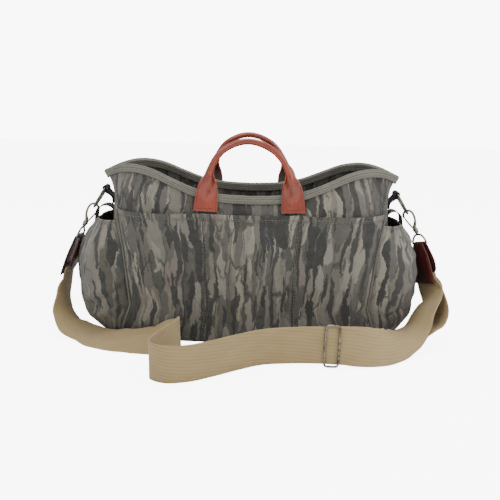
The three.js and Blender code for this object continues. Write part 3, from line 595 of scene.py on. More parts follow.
class Recipe:
    """A node material in the making."""

    def __init__(self, name: str) -> None:
        """Starts a material with its shader and output."""
        self.material = bpy.data.materials.new(name)
        self.material.use_nodes = True
        self.tree = self.material.node_tree
        self.tree.nodes.clear()
        output = self.tree.nodes.new("ShaderNodeOutputMaterial")
        self.shader = self.tree.nodes.new("ShaderNodeBsdfPrincipled")
        self.tree.links.new(self.shader.outputs[0], output.inputs[0])

    def put(self, target: Socket, value: object) -> None:
        """Links a socket to a target or sets the target's own value."""
        if isinstance(value, bpy.types.NodeSocket):
            self.tree.links.new(value, target)
        elif value is not None:
            target.default_value = value

    def cloth(self, scale: tuple[float, float] = (1.0, 1.0)) -> Socket:
        """Cloth coordinates in metres, scaled."""
        return self.scaled(self.tree.nodes.new("ShaderNodeTexCoord").outputs["UV"], (*scale, 1.0))

    def place(self, scale: tuple[float, float, float] = (1.0, 1.0, 1.0)) -> Socket:
        """Coordinates of the piece in metres, scaled."""
        return self.scaled(self.tree.nodes.new("ShaderNodeTexCoord").outputs["Object"], scale)

    def scaled(self, vector: Socket, scale: tuple[float, float, float],
               shift: tuple[float, float, float] = (0.0, 0.0, 0.0), turn: float = 0.0) -> Socket:
        """Scales, shifts and turns coordinates."""
        node = self.tree.nodes.new("ShaderNodeMapping")
        self.put(node.inputs["Vector"], vector)
        node.inputs["Scale"].default_value = scale
        node.inputs["Location"].default_value = shift
        node.inputs["Rotation"].default_value = (0.0, 0.0, turn)
        return node.outputs[0]

    def noise(self, vector: Socket, scale: float, detail: float = 2.0, rough: float = 0.5,
              colour: bool = False) -> Socket:
        """Noise over coordinates, as a number or as three of them."""
        node = self.tree.nodes.new("ShaderNodeTexNoise")
        self.put(node.inputs["Vector"], vector)
        self.put(node.inputs["Scale"], scale)
        self.put(node.inputs["Detail"], detail)
        self.put(node.inputs["Roughness"], rough)
        return node.outputs["Color" if colour else "Fac"]

    def cells(self, vector: Socket, scale: float, feature: str = "F1", output: str = "Color") -> Socket:
        """Cells over coordinates."""
        node = self.tree.nodes.new("ShaderNodeTexVoronoi")
        node.feature = feature
        self.put(node.inputs["Vector"], vector)
        self.put(node.inputs["Scale"], scale)
        return node.outputs[output]

    def wave(self, vector: Socket, scale: float, axis: str, warp: float = 0.0,
             detail_scale: float = 1.0) -> Socket:
        """Parallel ribs across one axis of the coordinates."""
        node = self.tree.nodes.new("ShaderNodeTexWave")
        node.bands_direction = axis
        self.put(node.inputs["Vector"], vector)
        self.put(node.inputs["Scale"], scale)
        self.put(node.inputs["Distortion"], warp)
        self.put(node.inputs["Detail Scale"], detail_scale)
        return node.outputs["Fac"]

    def sum(self, kind: str, a: object, b: object, clamp: bool = False) -> Socket:
        """One step of arithmetic on two values."""
        node = self.tree.nodes.new("ShaderNodeMath")
        node.operation = kind
        node.use_clamp = clamp
        self.put(node.inputs[0], a)
        self.put(node.inputs[1], b)
        return node.outputs[0]

    def span(self, value: Socket, low: float, high: float, to_low: float = 0.0,
             to_high: float = 1.0) -> Socket:
        """Maps a span of values onto another, held at its ends."""
        node = self.tree.nodes.new("ShaderNodeMapRange")
        for name, number in (("From Min", low), ("From Max", high), ("To Min", to_low), ("To Max", to_high)):
            node.inputs[name].default_value = number
        self.put(node.inputs["Value"], value)
        return node.outputs[0]

    def nudge(self, vector: Socket, by: Socket, amount: tuple[float, float, float]) -> Socket:
        """Moves coordinates by a noise colour about its middle."""
        centre = self.tree.nodes.new("ShaderNodeVectorMath")
        centre.operation = "SUBTRACT"
        self.put(centre.inputs[0], by)
        centre.inputs[1].default_value = (0.5, 0.5, 0.5)
        node = self.tree.nodes.new("ShaderNodeVectorMath")
        node.operation = "MULTIPLY_ADD"
        self.put(node.inputs[0], centre.outputs[0])
        node.inputs[1].default_value = amount
        self.put(node.inputs[2], vector)
        return node.outputs[0]

    def ramp(self, value: Socket, stops: Sequence[tuple[float, str]], steps: bool = False) -> Socket:
        """Turns a value into colours."""
        node = self.tree.nodes.new("ShaderNodeValToRGB")
        node.color_ramp.interpolation = "CONSTANT" if steps else "LINEAR"
        elements = node.color_ramp.elements
        while len(elements) < len(stops):
            elements.new(0.5)
        for element, (at, code) in zip(elements, stops):
            element.position = at
            element.color = tint(code)
        self.put(node.inputs["Fac"], value)
        return node.outputs["Color"]

    def mix(self, share: object, a: object, b: object, kind: str = "MIX") -> Socket:
        """Mixes two colours by a share."""
        node = self.tree.nodes.new("ShaderNodeMix")
        node.data_type = "RGBA"
        node.blend_type = kind
        self.put(node.inputs[0], share)
        self.put(node.inputs[6], a)
        self.put(node.inputs[7], b)
        return node.outputs[2]

    def part(self, colour: Socket, name: str) -> Socket:
        """One channel of a colour."""
        node = self.tree.nodes.new("ShaderNodeSeparateColor")
        self.put(node.inputs[0], colour)
        return node.outputs[name]

    def bump(self, height: Socket, depth: float, strength: float = 1.0,
             under: Socket | None = None) -> Socket:
        """Relief of a height in metres."""
        node = self.tree.nodes.new("ShaderNodeBump")
        node.inputs["Strength"].default_value = strength
        node.inputs["Distance"].default_value = depth
        self.put(node.inputs["Height"], height)
        self.put(node.inputs["Normal"], under)
        return node.outputs[0]

    def done(self, colour: object, rough: object, normal: Socket | None = None, **fixed: object) -> Material:
        """Sets the shader and gives the material.

        Args:
            colour: Base colour.
            rough: Roughness.
            normal: Relief.
            **fixed: Values of the shader's other sockets, with _ for spaces.

        Returns:
            The finished material.
        """
        self.put(self.shader.inputs["Base Color"], colour)
        self.put(self.shader.inputs["Roughness"], rough)
        self.put(self.shader.inputs["Normal"], normal)
        for name, value in fixed.items():
            self.put(self.shader.inputs[name.replace("_", " ")], value)
        return self.material


@dataclass(frozen=True)
class PatchedCanvas:
    """Coated cotton canvas printed with tall ragged patches in bark greys."""

    name: str
    light: float = 0.58
    contrast: float = 0.96

    def build(self) -> Material:
        """Makes the material: print, plain weave with painted shade in its gaps, creases, cloudy tone and
        painted shade towards the floor.
        """
        mat = Recipe(self.name)
        cloth = mat.cloth()
        rough_edge = mat.noise(mat.scaled(cloth, (1.0, 0.45, 1.0)), 48.0, 4.0, 0.62, colour=True)
        fine_edge = mat.noise(cloth, 260.0, 2.0, 0.6, colour=True)
        warped = mat.nudge(mat.nudge(cloth, rough_edge, (0.02, 0.05, 0.0)), fine_edge, (0.0022, 0.005, 0.0))
        broad = mat.part(mat.cells(mat.scaled(warped, (68.0, 16.0, 1.0)), 1.0), "Red")
        base = mat.ramp(broad, [
            (0.0, "65625A"), (0.2, "5B5850"), (0.36, "78746A"), (0.5, "6B675E"),
            (0.62, "54524B"), (0.74, "837D71"), (0.86, "64605A"),
        ], steps=True)
        tall = mat.scaled(warped, (112.0, 21.0, 1.0), (3.7, 1.9, 0.0))
        pick = mat.part(mat.cells(tall, 1.0), "Green")
        patches = mat.ramp(pick, [
            (0.0, "979184"), (0.32, "32322F"), (0.56, "877C73"),
            (0.70, "4C4D4F"), (0.80, "A09988"), (0.93, "5B5A4C"),
        ], steps=True)
        show = mat.part(mat.cells(tall, 1.0), "Blue")
        colour = mat.mix(mat.span(show, 0.54, 0.545), base, patches)
        slim = mat.scaled(warped, (210.0, 22.0, 1.0), (9.1, 4.2, 0.0))
        sliver = mat.part(mat.cells(slim, 1.0), "Red")
        colour = mat.mix(mat.span(sliver, 0.76, 0.765, 0.0, 0.9), colour, tint("2F2F2C"))
        colour = mat.mix(mat.span(sliver, 0.10, 0.105, 0.9, 0.0), colour, tint("8A8577"))
        crack = mat.cells(mat.scaled(warped, (68.0, 16.0, 1.0)), 1.0, "DISTANCE_TO_EDGE", "Distance")
        some = mat.span(mat.noise(cloth, 30.0, 2.0), 0.42, 0.56)
        line = mat.sum("MULTIPLY", mat.span(crack, 0.02, 0.055, 1.0, 0.0), some)
        colour = mat.mix(mat.sum("MULTIPLY", line, 0.75), colour, tint("2F2F2D"))
        if self.contrast < 1.0:
            colour = mat.mix(1.0 - self.contrast, colour, tint("6A675F"))
        tone_and_floor_shade = mat.span(mat.noise(cloth, 9.0, 3.0), 0.3, 0.7, 0.9 * self.light, 1.08 * self.light)
        # Painted shade: the cloudy tone is multiplied down to 0.72 over the lowest 70 mm, with a ragged edge,
        # so the cloth darkens towards the floor.
        height = mat.tree.nodes.new("ShaderNodeSeparateXYZ")
        floor_shade_ragged_edge = mat.noise(mat.place(), 22.0, 3.0, colour=True)
        mat.put(height.inputs[0], mat.nudge(mat.place(), floor_shade_ragged_edge, (0.0, 0.0, 0.03)))
        tone_and_floor_shade = mat.sum("MULTIPLY", tone_and_floor_shade, mat.span(height.outputs["Z"], 0.0, 0.07, 0.72, 1.0))
        colour = mat.mix(1.0, colour, self._grey(mat, tone_and_floor_shade), "MULTIPLY")
        warp = mat.wave(cloth, 1000.0 / 1.05 / 20.0 * 3.2, "X", 0.6, 30.0)
        weft = mat.wave(cloth, 1000.0 / 1.05 / 20.0 * 3.2, "Y", 0.6, 30.0)
        weave = mat.sum("MULTIPLY", warp, weft)
        # Painted shade: the colour darkens by up to 12 per cent where the weave is low, in the gaps between
        # the threads.
        colour = mat.mix(mat.span(weave, 0.0, 0.35, 0.12, 0.0), colour, tint("2B2A27"))
        creases = mat.noise(mat.scaled(cloth, (1.0, 0.5, 1.0)), 55.0, 4.0, 0.55)
        relief = mat.bump(creases, 0.0032, 0.85)
        relief = mat.bump(weave, 0.00022, 0.5, relief)
        rough = mat.span(mat.noise(cloth, 120.0, 2.0), 0.3, 0.7, 0.72, 0.92)
        return mat.done(colour, rough, relief, Sheen_Weight=0.12, Sheen_Roughness=0.5)

    @staticmethod
    def _grey(mat: Recipe, value: Socket) -> Socket:
        """Grey colour of a number."""
        node = mat.tree.nodes.new("ShaderNodeCombineColor")
        for n in range(3):
            mat.put(node.inputs[n], value)
        return node.outputs[0]


@dataclass(frozen=True)
class WovenTape:
    """Ribbed woven tape or webbing."""

    name: str
    colour: str
    shade: str
    light: str
    rib: float = 2.4
    lean: float = 0.12
    depth: float = 0.00035

    def build(self) -> Material:
        """Makes the material: twill ribs along the tape, picks across it, painted shade in the valleys of
        both, fuzz and soiling.
        """
        mat = Recipe(self.name)
        cloth = mat.cloth()
        leaned = mat.scaled(cloth, (1.0, 1.0, 1.0), turn=self.lean)
        ribs = mat.wave(leaned, 1000.0 / self.rib / 20.0 * 3.2, "X", 0.35, 20.0)
        picks = mat.wave(cloth, 1000.0 / 1.1 / 20.0 * 3.2, "Y", 0.5, 20.0)
        mottle = mat.noise(mat.scaled(cloth, (1.0, 0.35, 1.0)), 90.0, 4.0, 0.6)
        soil = mat.noise(cloth, 14.0, 3.0)
        # Painted shade: the rib valleys take the shade colour, and the colour darkens again between the
        # picks.
        colour = mat.mix(mat.span(ribs, 0.15, 0.7), tint(self.shade), tint(self.colour))
        colour = mat.mix(mat.span(picks, 0.0, 0.5, 0.22, 0.0), colour, tint(self.shade))
        colour = mat.mix(mat.span(mottle, 0.35, 0.75, 0.0, 0.55), colour, tint(self.light))
        colour = mat.mix(mat.span(soil, 0.45, 0.75, 0.0, 0.22), colour, tint(self.shade))
        relief = mat.bump(mat.sum("ADD", ribs, mat.sum("MULTIPLY", picks, 0.35)), self.depth, 0.7)
        relief = mat.bump(mat.noise(cloth, 900.0, 2.0), 0.0001, 0.4, relief)
        rough = mat.span(mottle, 0.3, 0.7, 0.78, 0.95)
        return mat.done(colour, rough, relief, Sheen_Weight=0.1, Sheen_Roughness=0.5)


@dataclass(frozen=True)
class Leather:
    """Vegetable-tanned bridle leather with a waxed face."""

    name: str
    colour: str
    deep: str
    worn: str
    gloss: float = 0.34
    wax: float = 0.0

    def build(self) -> Material:
        """Makes the material: mottled dye, pores, fine creases and a waxed gloss."""
        mat = Recipe(self.name)
        place = mat.place()
        dye = mat.noise(place, 26.0, 4.0, 0.55)
        pull = mat.noise(mat.place((1.0, 1.0, 0.4)), 110.0, 3.0, 0.6)
        colour = mat.mix(mat.span(dye, 0.32, 0.68), tint(self.deep), tint(self.colour))
        colour = mat.mix(mat.span(pull, 0.52, 0.78, 0.0, 0.5), colour, tint(self.worn))
        grain = mat.cells(place, 900.0, "F1", "Distance")
        warped = mat.nudge(place, mat.noise(place, 200.0, 2.0, colour=True), (0.004, 0.004, 0.004))
        creases = mat.cells(warped, 240.0, "DISTANCE_TO_EDGE", "Distance")
        relief = mat.bump(grain, 0.00012, 0.35)
        relief = mat.bump(mat.span(creases, 0.0, 0.12), 0.0001, 0.3, relief)
        rough = mat.span(pull, 0.3, 0.75, self.gloss - 0.06, self.gloss + 0.14)
        return mat.done(colour, rough, relief,
                        Coat_Weight=self.wax, Coat_Roughness=0.18, Specular_IOR_Level=0.5)


@dataclass(frozen=True)
class AgedNickel:
    """Cast hardware whose nickel has dulled and darkened in its hollows."""

    name: str
    bright: str = "8A8478"
    dark: str = "2A241F"

    def build(self) -> Material:
        """Makes the material: dulled metal, patina, fine scratches and pits."""
        mat = Recipe(self.name)
        place = mat.place()
        patina = mat.noise(place, 160.0, 5.0, 0.65)
        colour = mat.mix(mat.span(patina, 0.44, 0.62, 0.0, 0.85), tint(self.bright), tint(self.dark))
        scratches = mat.noise(mat.place((1.0, 1.0, 0.08)), 900.0, 3.0, 0.6)
        relief = mat.bump(scratches, 0.00006, 0.35)
        relief = mat.bump(patina, 0.00015, 0.3, relief)
        rough = mat.span(patina, 0.35, 0.7, 0.24, 0.5)
        return mat.done(colour, rough, relief, Metallic=0.9)


@dataclass(frozen=True)
class Thread:
    """Waxed sewing thread."""

    name: str
    colour: str
    shade: str

    def build(self) -> Material:
        """Makes the material: twisted plies and small colour changes."""
        mat = Recipe(self.name)
        place = mat.place()
        ply = mat.wave(mat.cloth(), 60.0, "DIAGONAL")
        fuzz = mat.noise(place, 700.0, 2.0)
        colour = mat.mix(mat.span(fuzz, 0.35, 0.7), tint(self.shade), tint(self.colour))
        return mat.done(colour, mat.span(fuzz, 0.3, 0.7, 0.55, 0.8), mat.bump(ply, 0.0001, 0.5))


@dataclass(frozen=True)
class Ground:
    """Pale matt studio ground."""

    name: str = "studio_ground"

    def build(self) -> Material:
        """Makes the material: near white with a faint tooth."""
        mat = Recipe(self.name)
        tooth = mat.noise(mat.place(), 6.0, 3.0)
        colour = mat.mix(mat.span(tooth, 0.3, 0.7), tint("F3F3F2"), tint("F6F6F5"))
        seen = mat.tree.nodes.new("ShaderNodeLightPath").outputs["Is Camera Ray"]
        glow = mat.span(seen, 0.0, 1.0, 0.0, 7.0)
        return mat.done(colour, 0.9, mat.bump(tooth, 0.0002, 0.1),
                        Emission_Color=tint("FFFFFF"), Emission_Strength=glow)


class Finishes:
    """All finishes of the bag, each made once."""

    def __init__(self) -> None:
        """Makes every material."""
        self.canvas = PatchedCanvas("printed_canvas").build()
        self.lining = PatchedCanvas("canvas_inside", light=0.44, contrast=0.7).build()
        self.binding = WovenTape("binding_tape", "68665D", "4C4A42", "7C796F", rib=1.6, lean=0.0).build()
        self.piping = WovenTape("piping_tape", "5C594F", "403E37", "77746A", rib=1.4, lean=0.5).build()
        self.webbing = WovenTape("khaki_webbing", "95815A", "8B7751", "A08D67", depth=0.00009).build()
        self.black = WovenTape("black_webbing", "262726", "121312", "3A3B39", rib=1.8, lean=0.0).build()
        self.tan = Leather("tan_leather", "8C3216", "6C220D", "A64C26", gloss=0.24, wax=0.4).build()
        # The strap tabs' leather has its own red-brown colour, darkened further to paint the shade that the
        # tabs hang in.
        self.dark = Leather("dark_leather", "54201A", "2A0E0B", "6E3022", gloss=0.5, wax=0.05).build()
        self.flesh = Leather("leather_flesh_side", "4A2A20", "2E1813", "6A4232", gloss=0.62).build()
        self.metal = AgedNickel("aged_nickel").build()
        self.thread = Thread("canvas_thread", "6E6B61", "55524A").build()
        self.rust = Thread("leather_thread", "8A3A2A", "5F231A").build()
        self.sand = Thread("webbing_thread", "A89A78", "857853").build()
        self.ground = Ground().build()


def settle(piece: bpy.types.Object, replaces: Sequence[str] = (),
           body: Body = Body.BAG) -> bpy.types.Object:
    """Puts a finished piece on its body and hides the CAD nodes that it stands for.

    Args:
        piece: The piece.
        replaces: CAD nodes that it stands for.
        body: Body that it rides on.

    Returns:
        The piece.
    """
    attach(piece, body.value)
    if replaces:
        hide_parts(*replaces)
    LOG.info("%s: %d faces on %s", piece.name, len(piece.data.polygons), body.value)
    return piece


# ---------------------------------------------------------------- studio


@dataclass
class Studio:
    """Camera, soft lights and pale ground."""

    eye: tuple[float, float, float] = (0.0, -1.069, 0.335)
    pitch: float = 11.7
    roll: float = 1.3
    lens: float = 54.8

    def camera(self) -> None:
        """Sets the camera at the photograph's viewing angle."""
        data = bpy.data.cameras.new("studio_camera")
        data.lens = self.lens
        data.sensor_fit = "HORIZONTAL"
        data.sensor_width = 36.0
        data.clip_start = 0.01
        camera = bpy.data.objects.new("studio_camera", data)
        look = Euler((math.radians(90 - self.pitch), 0.0, 0.0)).to_matrix()
        camera.rotation_euler = (look @ Matrix.Rotation(math.radians(self.roll), 3, "Z")).to_euler()
        camera.location = self.eye
        bpy.context.scene.collection.objects.link(camera)
        bpy.context.scene.camera = camera

    def light(self, name: str, at: tuple[float, float, float], size: float, power: float) -> None:
        """Hangs a soft square light that faces the bag."""
        data = bpy.data.lights.new(name, "AREA")
        data.shape = "SQUARE"
        data.size = size
        data.energy = power
        lamp = bpy.data.objects.new(name, data)
        lamp.location = at
        aim = Vector((0.0, 0.0, 0.12)) - Vector(at)
        lamp.rotation_euler = aim.to_track_quat("-Z", "Y").to_euler()
        bpy.context.scene.collection.objects.link(lamp)

    def ground(self, finish: Material) -> None:
        """Lays the ground and whitens the surroundings."""
        stock = Stock()
        x, y = np.meshgrid(np.linspace(-4000.0, 4000.0, 9), np.linspace(-4000.0, 4000.0, 9))
        top = np.stack([x, y, np.full_like(x, -0.1)], axis=-1)
        thick_cloth(stock, top, 4.0)
        stock.make("studio_ground", [finish, finish])
        world = bpy.data.worlds.new("studio_air")
        world.use_nodes = True
        back = world.node_tree.nodes["Background"]
        back.inputs[0].default_value = (1.0, 1.0, 1.0, 1.0)
        path = world.node_tree.nodes.new("ShaderNodeLightPath")
        span = world.node_tree.nodes.new("ShaderNodeMapRange")
        span.inputs["To Min"].default_value = 1.0
        span.inputs["To Max"].default_value = 9.0
        world.node_tree.links.new(path.outputs["Is Camera Ray"], span.inputs["Value"])
        world.node_tree.links.new(span.outputs[0], back.inputs[1])
        bpy.context.scene.world = world

    def build(self, finishes: Finishes) -> None:
        """Sets up the whole studio."""
        self.camera()
        self.light("key_left", (-1.0, -1.5, 2.0), 1.2, 17.0)
        self.light("fill_right", (1.7, -1.2, 1.2), 1.6, 20.0)
        self.light("top_soft", (0.1, 0.1, 1.9), 0.9, 20.0)
        self.ground(finishes.ground)


# ---------------------------------------------------------------- body


@dataclass
class BagShell:
    """The open canvas body with its side seams."""

    outline: BagOutline
    columns: int = 352
    wall_rows: int = 60

    def wall(self, turn: Array, share: Array) -> Array:
        """Outer wall with the sag and creases of the cloth above and behind the pockets."""
        smooth = self.outline.wall(turn, share)
        turn, share = np.broadcast_arrays(np.asarray(turn, dtype=float), np.asarray(share, dtype=float))
        z = smooth[..., 2]
        back = smoothstep(turn, 1.3, 1.42) * smoothstep(-turn, -2.7, -2.58)
        free = np.maximum(smoothstep(z, POCKET_TOP + 1, POCKET_TOP + 12), back)
        free = free * (1 - smoothstep(share, 0.965, 1.0)) * smoothstep(share, 0.02, 0.12)
        u = turn * 150.0
        move = 1.0 * ripple(u / 34 + 3, z / 60, 11) + 0.6 * ripple(u / 14 + z / 40, z / 22, 12)
        move = move + 0.35 * ripple(u / 8, z / 9, 13)
        move = move + folds(u, z, np.array([
            [318.0, 30.0, 392.0, 96.0, 9.0, 1.6], [470.0, 26.0, 540.0, 90.0, 10.0, 1.8],
            [330.0, 150.0, 420.0, 132.0, 8.0, -1.4], [505.0, 140.0, 560.0, 160.0, 7.0, 1.2],
        ]))
        return smooth + self.outline.normal(turn, share) * (free * move)[..., None]

    def build(self, finishes: Finishes) -> None:
        """Makes the shell: base, outer wall, rim fold, inner wall and floor."""
        turns = 2.0 + np.arange(self.columns) * 4.0 / self.columns
        shares = np.concatenate([np.linspace(0.0, 0.08, 8), np.linspace(0.1, 1.0, self.wall_rows - 8)])
        t, s = np.meshgrid(turns, shares)
        wall = self.wall(t, s)
        base = self.outline.wall(turns, np.zeros_like(turns))
        rings = np.array([0.02, 0.25, 0.5, 0.7, 0.85, 0.95])
        floor = base[None] * rings[:, None, None]
        floor[..., 2] = np.minimum(0.0, floor[..., 2])
        rows = np.concatenate([floor, wall])
        normals = grid_normals(rows, True)
        inner = rows - normals * CANVAS
        inner[:6, :, 2] = CANVAS
        both = np.concatenate([rows, inner[::-1]])
        coords = cloth_coords(wall, ring=True)
        low = np.repeat(coords[:1], 6, axis=0)
        low[..., 1] -= (6 - np.arange(6))[:, None] * 14.0
        full = np.concatenate([low, coords])
        full = np.concatenate([full, full[::-1] + np.array([210.0, 37.0])])
        stock = Stock()
        count = len(rows)
        stock.grid(both, full, ring_cols=True, finish=lambda i, j: 1 if i >= count else 0)
        settle(stock.make("bag_shell", [finishes.canvas, finishes.lining]), ["body_shell"])
        self.side_seams(finishes)

    def side_seams(self, finishes: Finishes) -> None:
        """Sews the upright seams between the front, the ends and the back above the pockets."""
        stock = Stock()
        for mirror in (1, -1):
            for start, low in ((0.0, POCKET_TOP + 3.0), (2.0, 12.0)):
                heights = np.linspace(low, 214.0, 60)
                turns = []
                for height in heights:
                    edge = float(read(PANEL_EDGE, min(1.0, height / POCKET_TOP)))
                    flare = 0.0012 * max(0.0, height - POCKET_TOP)
                    along = self.outline.turn_at(height, HALF_LENGTH * (edge + flare))
                    turn = along if start == 0.0 else 2.0 - along
                    turns.append(turn * mirror)
                share = self.outline.share_at(np.array(turns), heights)
                share = np.minimum(share, 0.955)
                points = self.wall(np.array(turns), share)
                normals = self.outline.normal(np.array(turns), share)
                rod(stock, points + normals * 0.35, 1.25, sides=8, finish=0)
                side = unit(np.cross(normals, tangents(points)))
                for off in (-3.2, 3.2):
                    stitches(stock, points + side * off + normals * 0.25, normals, 4.4, 3.0, 0.36, finish=1)
        settle(stock.make("side_seams", [finishes.piping, finishes.thread]))


@dataclass
class RimBinding:
    """The tape folded over the rim, with its two rows of stitches."""

    shell: BagShell
    columns: int = 352

    def build(self, finishes: Finishes) -> None:
        """Makes the tape and its stitches."""
        outline = self.shell.outline
        turns = 2.0 + np.arange(self.columns) * 4.0 / self.columns
        rim = outline.wall(turns, 1.0)
        deep = 1 - (BINDING_DEPTH + 1) / rim[:, 2]
        rows = np.stack([outline.wall(turns, 1 - (1 - deep) * k) for k in np.linspace(1.0, 0.0, 8)])
        normals = grid_normals(rows, True)
        middle_row = turns * 0 + 0.5
        wobble = 0.5 * ripple(turns * 24, middle_row, 21) + 0.25 * ripple(turns * 70, middle_row, 22)
        near = SEAM_GAP + 0.25
        far = near + BINDING_CLOTH
        up = np.array([0.0, 0.0, 1.0])
        profile = []
        for i in range(1, 8):
            swell = 0.25 * math.sin(math.pi * (i - 1) / 6)
            profile.append(rows[i] + normals[i] * (far + swell + 0.18 * wobble)[:, None])
        top, out = rows[-1], normals[-1]
        middle = -CANVAS / 2
        reach = (2 * far + CANVAS) / 2
        for angle in np.radians([30, 60, 90, 120, 150]):
            level = out * (middle + reach * math.cos(angle))
            profile.append(top + level + up * (reach * 0.62 * math.sin(angle)))
        for i in range(7, 0, -1):
            profile.append(rows[i] - normals[i] * (CANVAS + far))
        for i in range(1, 8):
            profile.append(rows[i] - normals[i] * (CANVAS + near))
        profile.append(top - out * (CANVAS + near) + up * near)
        profile.append(top + out * near + up * near)
        for i in range(7, 0, -1):
            profile.append(rows[i] + normals[i] * near)
        grid = np.stack(profile)
        coords = cloth_coords(grid, ring=True)
        coords = np.concatenate([coords, coords[:1]])
        coords = coords[..., ::-1]
        stock = Stock()
        stock.grid(grid, coords, ring_rows=True, ring_cols=True)
        for row, gap in ((2, far + 0.1), (5, far + 0.2)):
            loop = np.vstack([rows[row], rows[row][:1]])
            face = np.vstack([normals[row], normals[row][:1]])
            stitches(stock, loop + face * (gap + 0.12), face, 4.2, 3.0, 0.36, finish=1)
        loop = np.vstack([rows[2], rows[2][:1]])
        face = -np.vstack([normals[2], normals[2][:1]])
        stitches(stock, loop + face * (CANVAS + far + 0.1), face, 4.2, 3.0, 0.36, finish=1)
        tape = stock.make("rim_binding_tape", [finishes.binding, finishes.thread])
        settle(tape, ["rim_binding"])


# ---------------------------------------------------------------- pockets


@dataclass
class FrontPockets:
    """One panel sewn down into three open pockets across the front."""

    outline: BagOutline
    bulge: float = 11.0
    seams: tuple[float, ...] = (-1.0, -0.358, 0.358, 1.0)
    columns: int = 260
    rows: int = 84
    fullness: Array = field(default_factory=lambda: np.array(
        [[0.0, 0.04], [0.1, 0.22], [0.3, 0.62], [0.55, 1.0], [0.8, 0.78], [1.0, 0.2]]))
    creases: Array = field(default_factory=lambda: np.array([
        [-150.0, 40.0, -128.0, 96.0, 7.0, 1.5], [-118.0, 18.0, -96.0, 70.0, 6.0, 1.3],
        [-86.0, 120.0, -80.0, 40.0, 5.0, -1.3], [-60.0, 30.0, -36.0, 92.0, 7.0, 1.2],
        [-16.0, 16.0, -8.0, 84.0, 6.0, 1.1], [30.0, 24.0, 14.0, 110.0, 7.0, 1.3],
        [56.0, 20.0, 66.0, 100.0, 5.0, -1.1], [92.0, 24.0, 108.0, 90.0, 7.0, 1.5],
        [130.0, 22.0, 142.0, 84.0, 7.0, 1.5], [116.0, 140.0, 150.0, 112.0, 8.0, 1.0],
        [-140.0, 138.0, -104.0, 120.0, 8.0, 1.0], [-30.0, 150.0, 28.0, 146.0, 9.0, 0.8],
    ]))

    def edge(self, share: float) -> float:
        """Half length of the panel at a share of the pocket top."""
        return HALF_LENGTH * float(read(PANEL_EDGE, share))

    def surface(self, place: Array, share: float) -> Array:
        """Outer face of the panel at places from -1 to 1 and one height.

        Args:
            place: Shares of the way from the panel's middle to its side seams.
            share: Share of the pocket top.

        Returns:
            The points, in millimetres.
        """
        height = share * POCKET_TOP
        edge = self.edge(share)
        turn = place * self.outline.turn_at(height, edge)
        x = self.outline.wall(turn, self.outline.share_at(turn, height))[..., 0]
        across = np.clip(x / edge, -1.0, 1.0)
        full = np.zeros_like(across)
        seam = np.zeros_like(across)
        for a, b in zip(self.seams, self.seams[1:]):
            inside = (across >= a) & (across <= b)
            wave = np.maximum(0.0, np.sin(np.pi * (across - a) / (b - a)))
            full = np.where(inside, wave**0.5, full)
        for s in self.seams[1:-1]:
            seam = seam + np.exp(-(((across - s) * edge) / 2.2) ** 2)
        body = float(read_smooth(self.fullness, share))
        soft = full * (1 - 0.6 * seam)
        folded = folds(x, np.full_like(x, height), self.creases)
        folded = folded + 1.0 * ripple(x / 26 + 5, np.full_like(x, height / 44), 31)
        folded = folded + 0.8 * ripple(x / 11, np.full_like(x, height / 24), 32)
        pucker = 0.55 * np.exp(-(((np.abs(across) - 0.358) * edge) / 9) ** 2) * math.sin(height / 3.1)
        ease = smoothstep(share, 0.0, 0.12)
        hem = 1 - 0.7 * smoothstep(share, 0.93, 1.0)
        off = self.bulge * full * body + folded * soft * ease * hem + pucker * full
        off = np.maximum(off, -0.35)
        lip = 0.5 * float(smoothstep(share, 0.955, 0.965))
        sag = -1.6 * soft * smoothstep(share, 0.75, 1.0)
        out = POCKET_GAP + POCKET_CLOTH + off + lip
        points = self.outline.off_wall(turn, np.full_like(turn, height), out)
        points[..., 2] += sag
        return points

    def normals_at(self, place: Array, share: float) -> Array:
        """Normals of the panel along one height."""
        near = np.stack([self.surface(place, share - 0.004), self.surface(place, share + 0.004)])
        across = np.gradient(near[1], axis=0)
        return unit(np.cross(across, near[1] - near[0]))

    def build(self, finishes: Finishes) -> None:
        """Makes the panel, its hem, its seams and its stitches."""
        places = np.linspace(-1.0, 1.0, self.columns + 1)
        shares = np.concatenate([np.linspace(0.012, 0.94, self.rows - 12), np.linspace(0.945, 1.0, 12)])
        rows = np.stack([self.surface(places, float(s)) for s in shares])
        stock = Stock()
        coords = cloth_coords(rows, (61.0, 44.0))
        x = rows[..., 0]
        pocket = np.searchsorted(np.array(self.seams[1:-1]) * 168, x.mean(axis=0))
        coords[..., 0] += pocket * 23.7
        coords[..., 1] += pocket * 61.3
        thick_cloth(stock, rows, POCKET_CLOTH, coords)
        wide = np.linspace(-0.995, 0.995, 320)
        for share in (0.968, 0.957):
            line = self.surface(wide, share)
            out = self.normals_at(wide, share)
            stitches(stock, line + out * 0.15, out, 4.4, 3.1, 0.36, finish=2)
        for seam in self.seams[1:-1]:
            for off in (-2.4, 2.4):
                self.upright(stock, seam, off)
        panel = stock.make("front_pockets", [finishes.canvas, finishes.lining, finishes.thread])
        settle(panel, ["front_pocket_panel"])
        self.piping(finishes)

    def upright(self, stock: Stock, seam: float, off: float) -> None:
        """Sews one row of stitches beside a divider."""
        points, normals = [], []
        for share in np.linspace(0.02, 0.985, 90):
            edge = self.edge(float(share))
            limit = self.outline.turn_at(float(share) * POCKET_TOP, edge)
            turn = self.outline.turn_at(float(share) * POCKET_TOP, abs(seam * edge + off))
            place = np.sign(seam * edge + off) * turn / limit + np.array([-0.004, 0.0, 0.004])
            points.append(self.surface(place, float(share))[1])
            normals.append(self.normals_at(place, float(share))[1])
        line, out = np.array(points), np.array(normals)
        stitches(stock, line + out * 0.12, out, 4.4, 3.1, 0.36, finish=2)

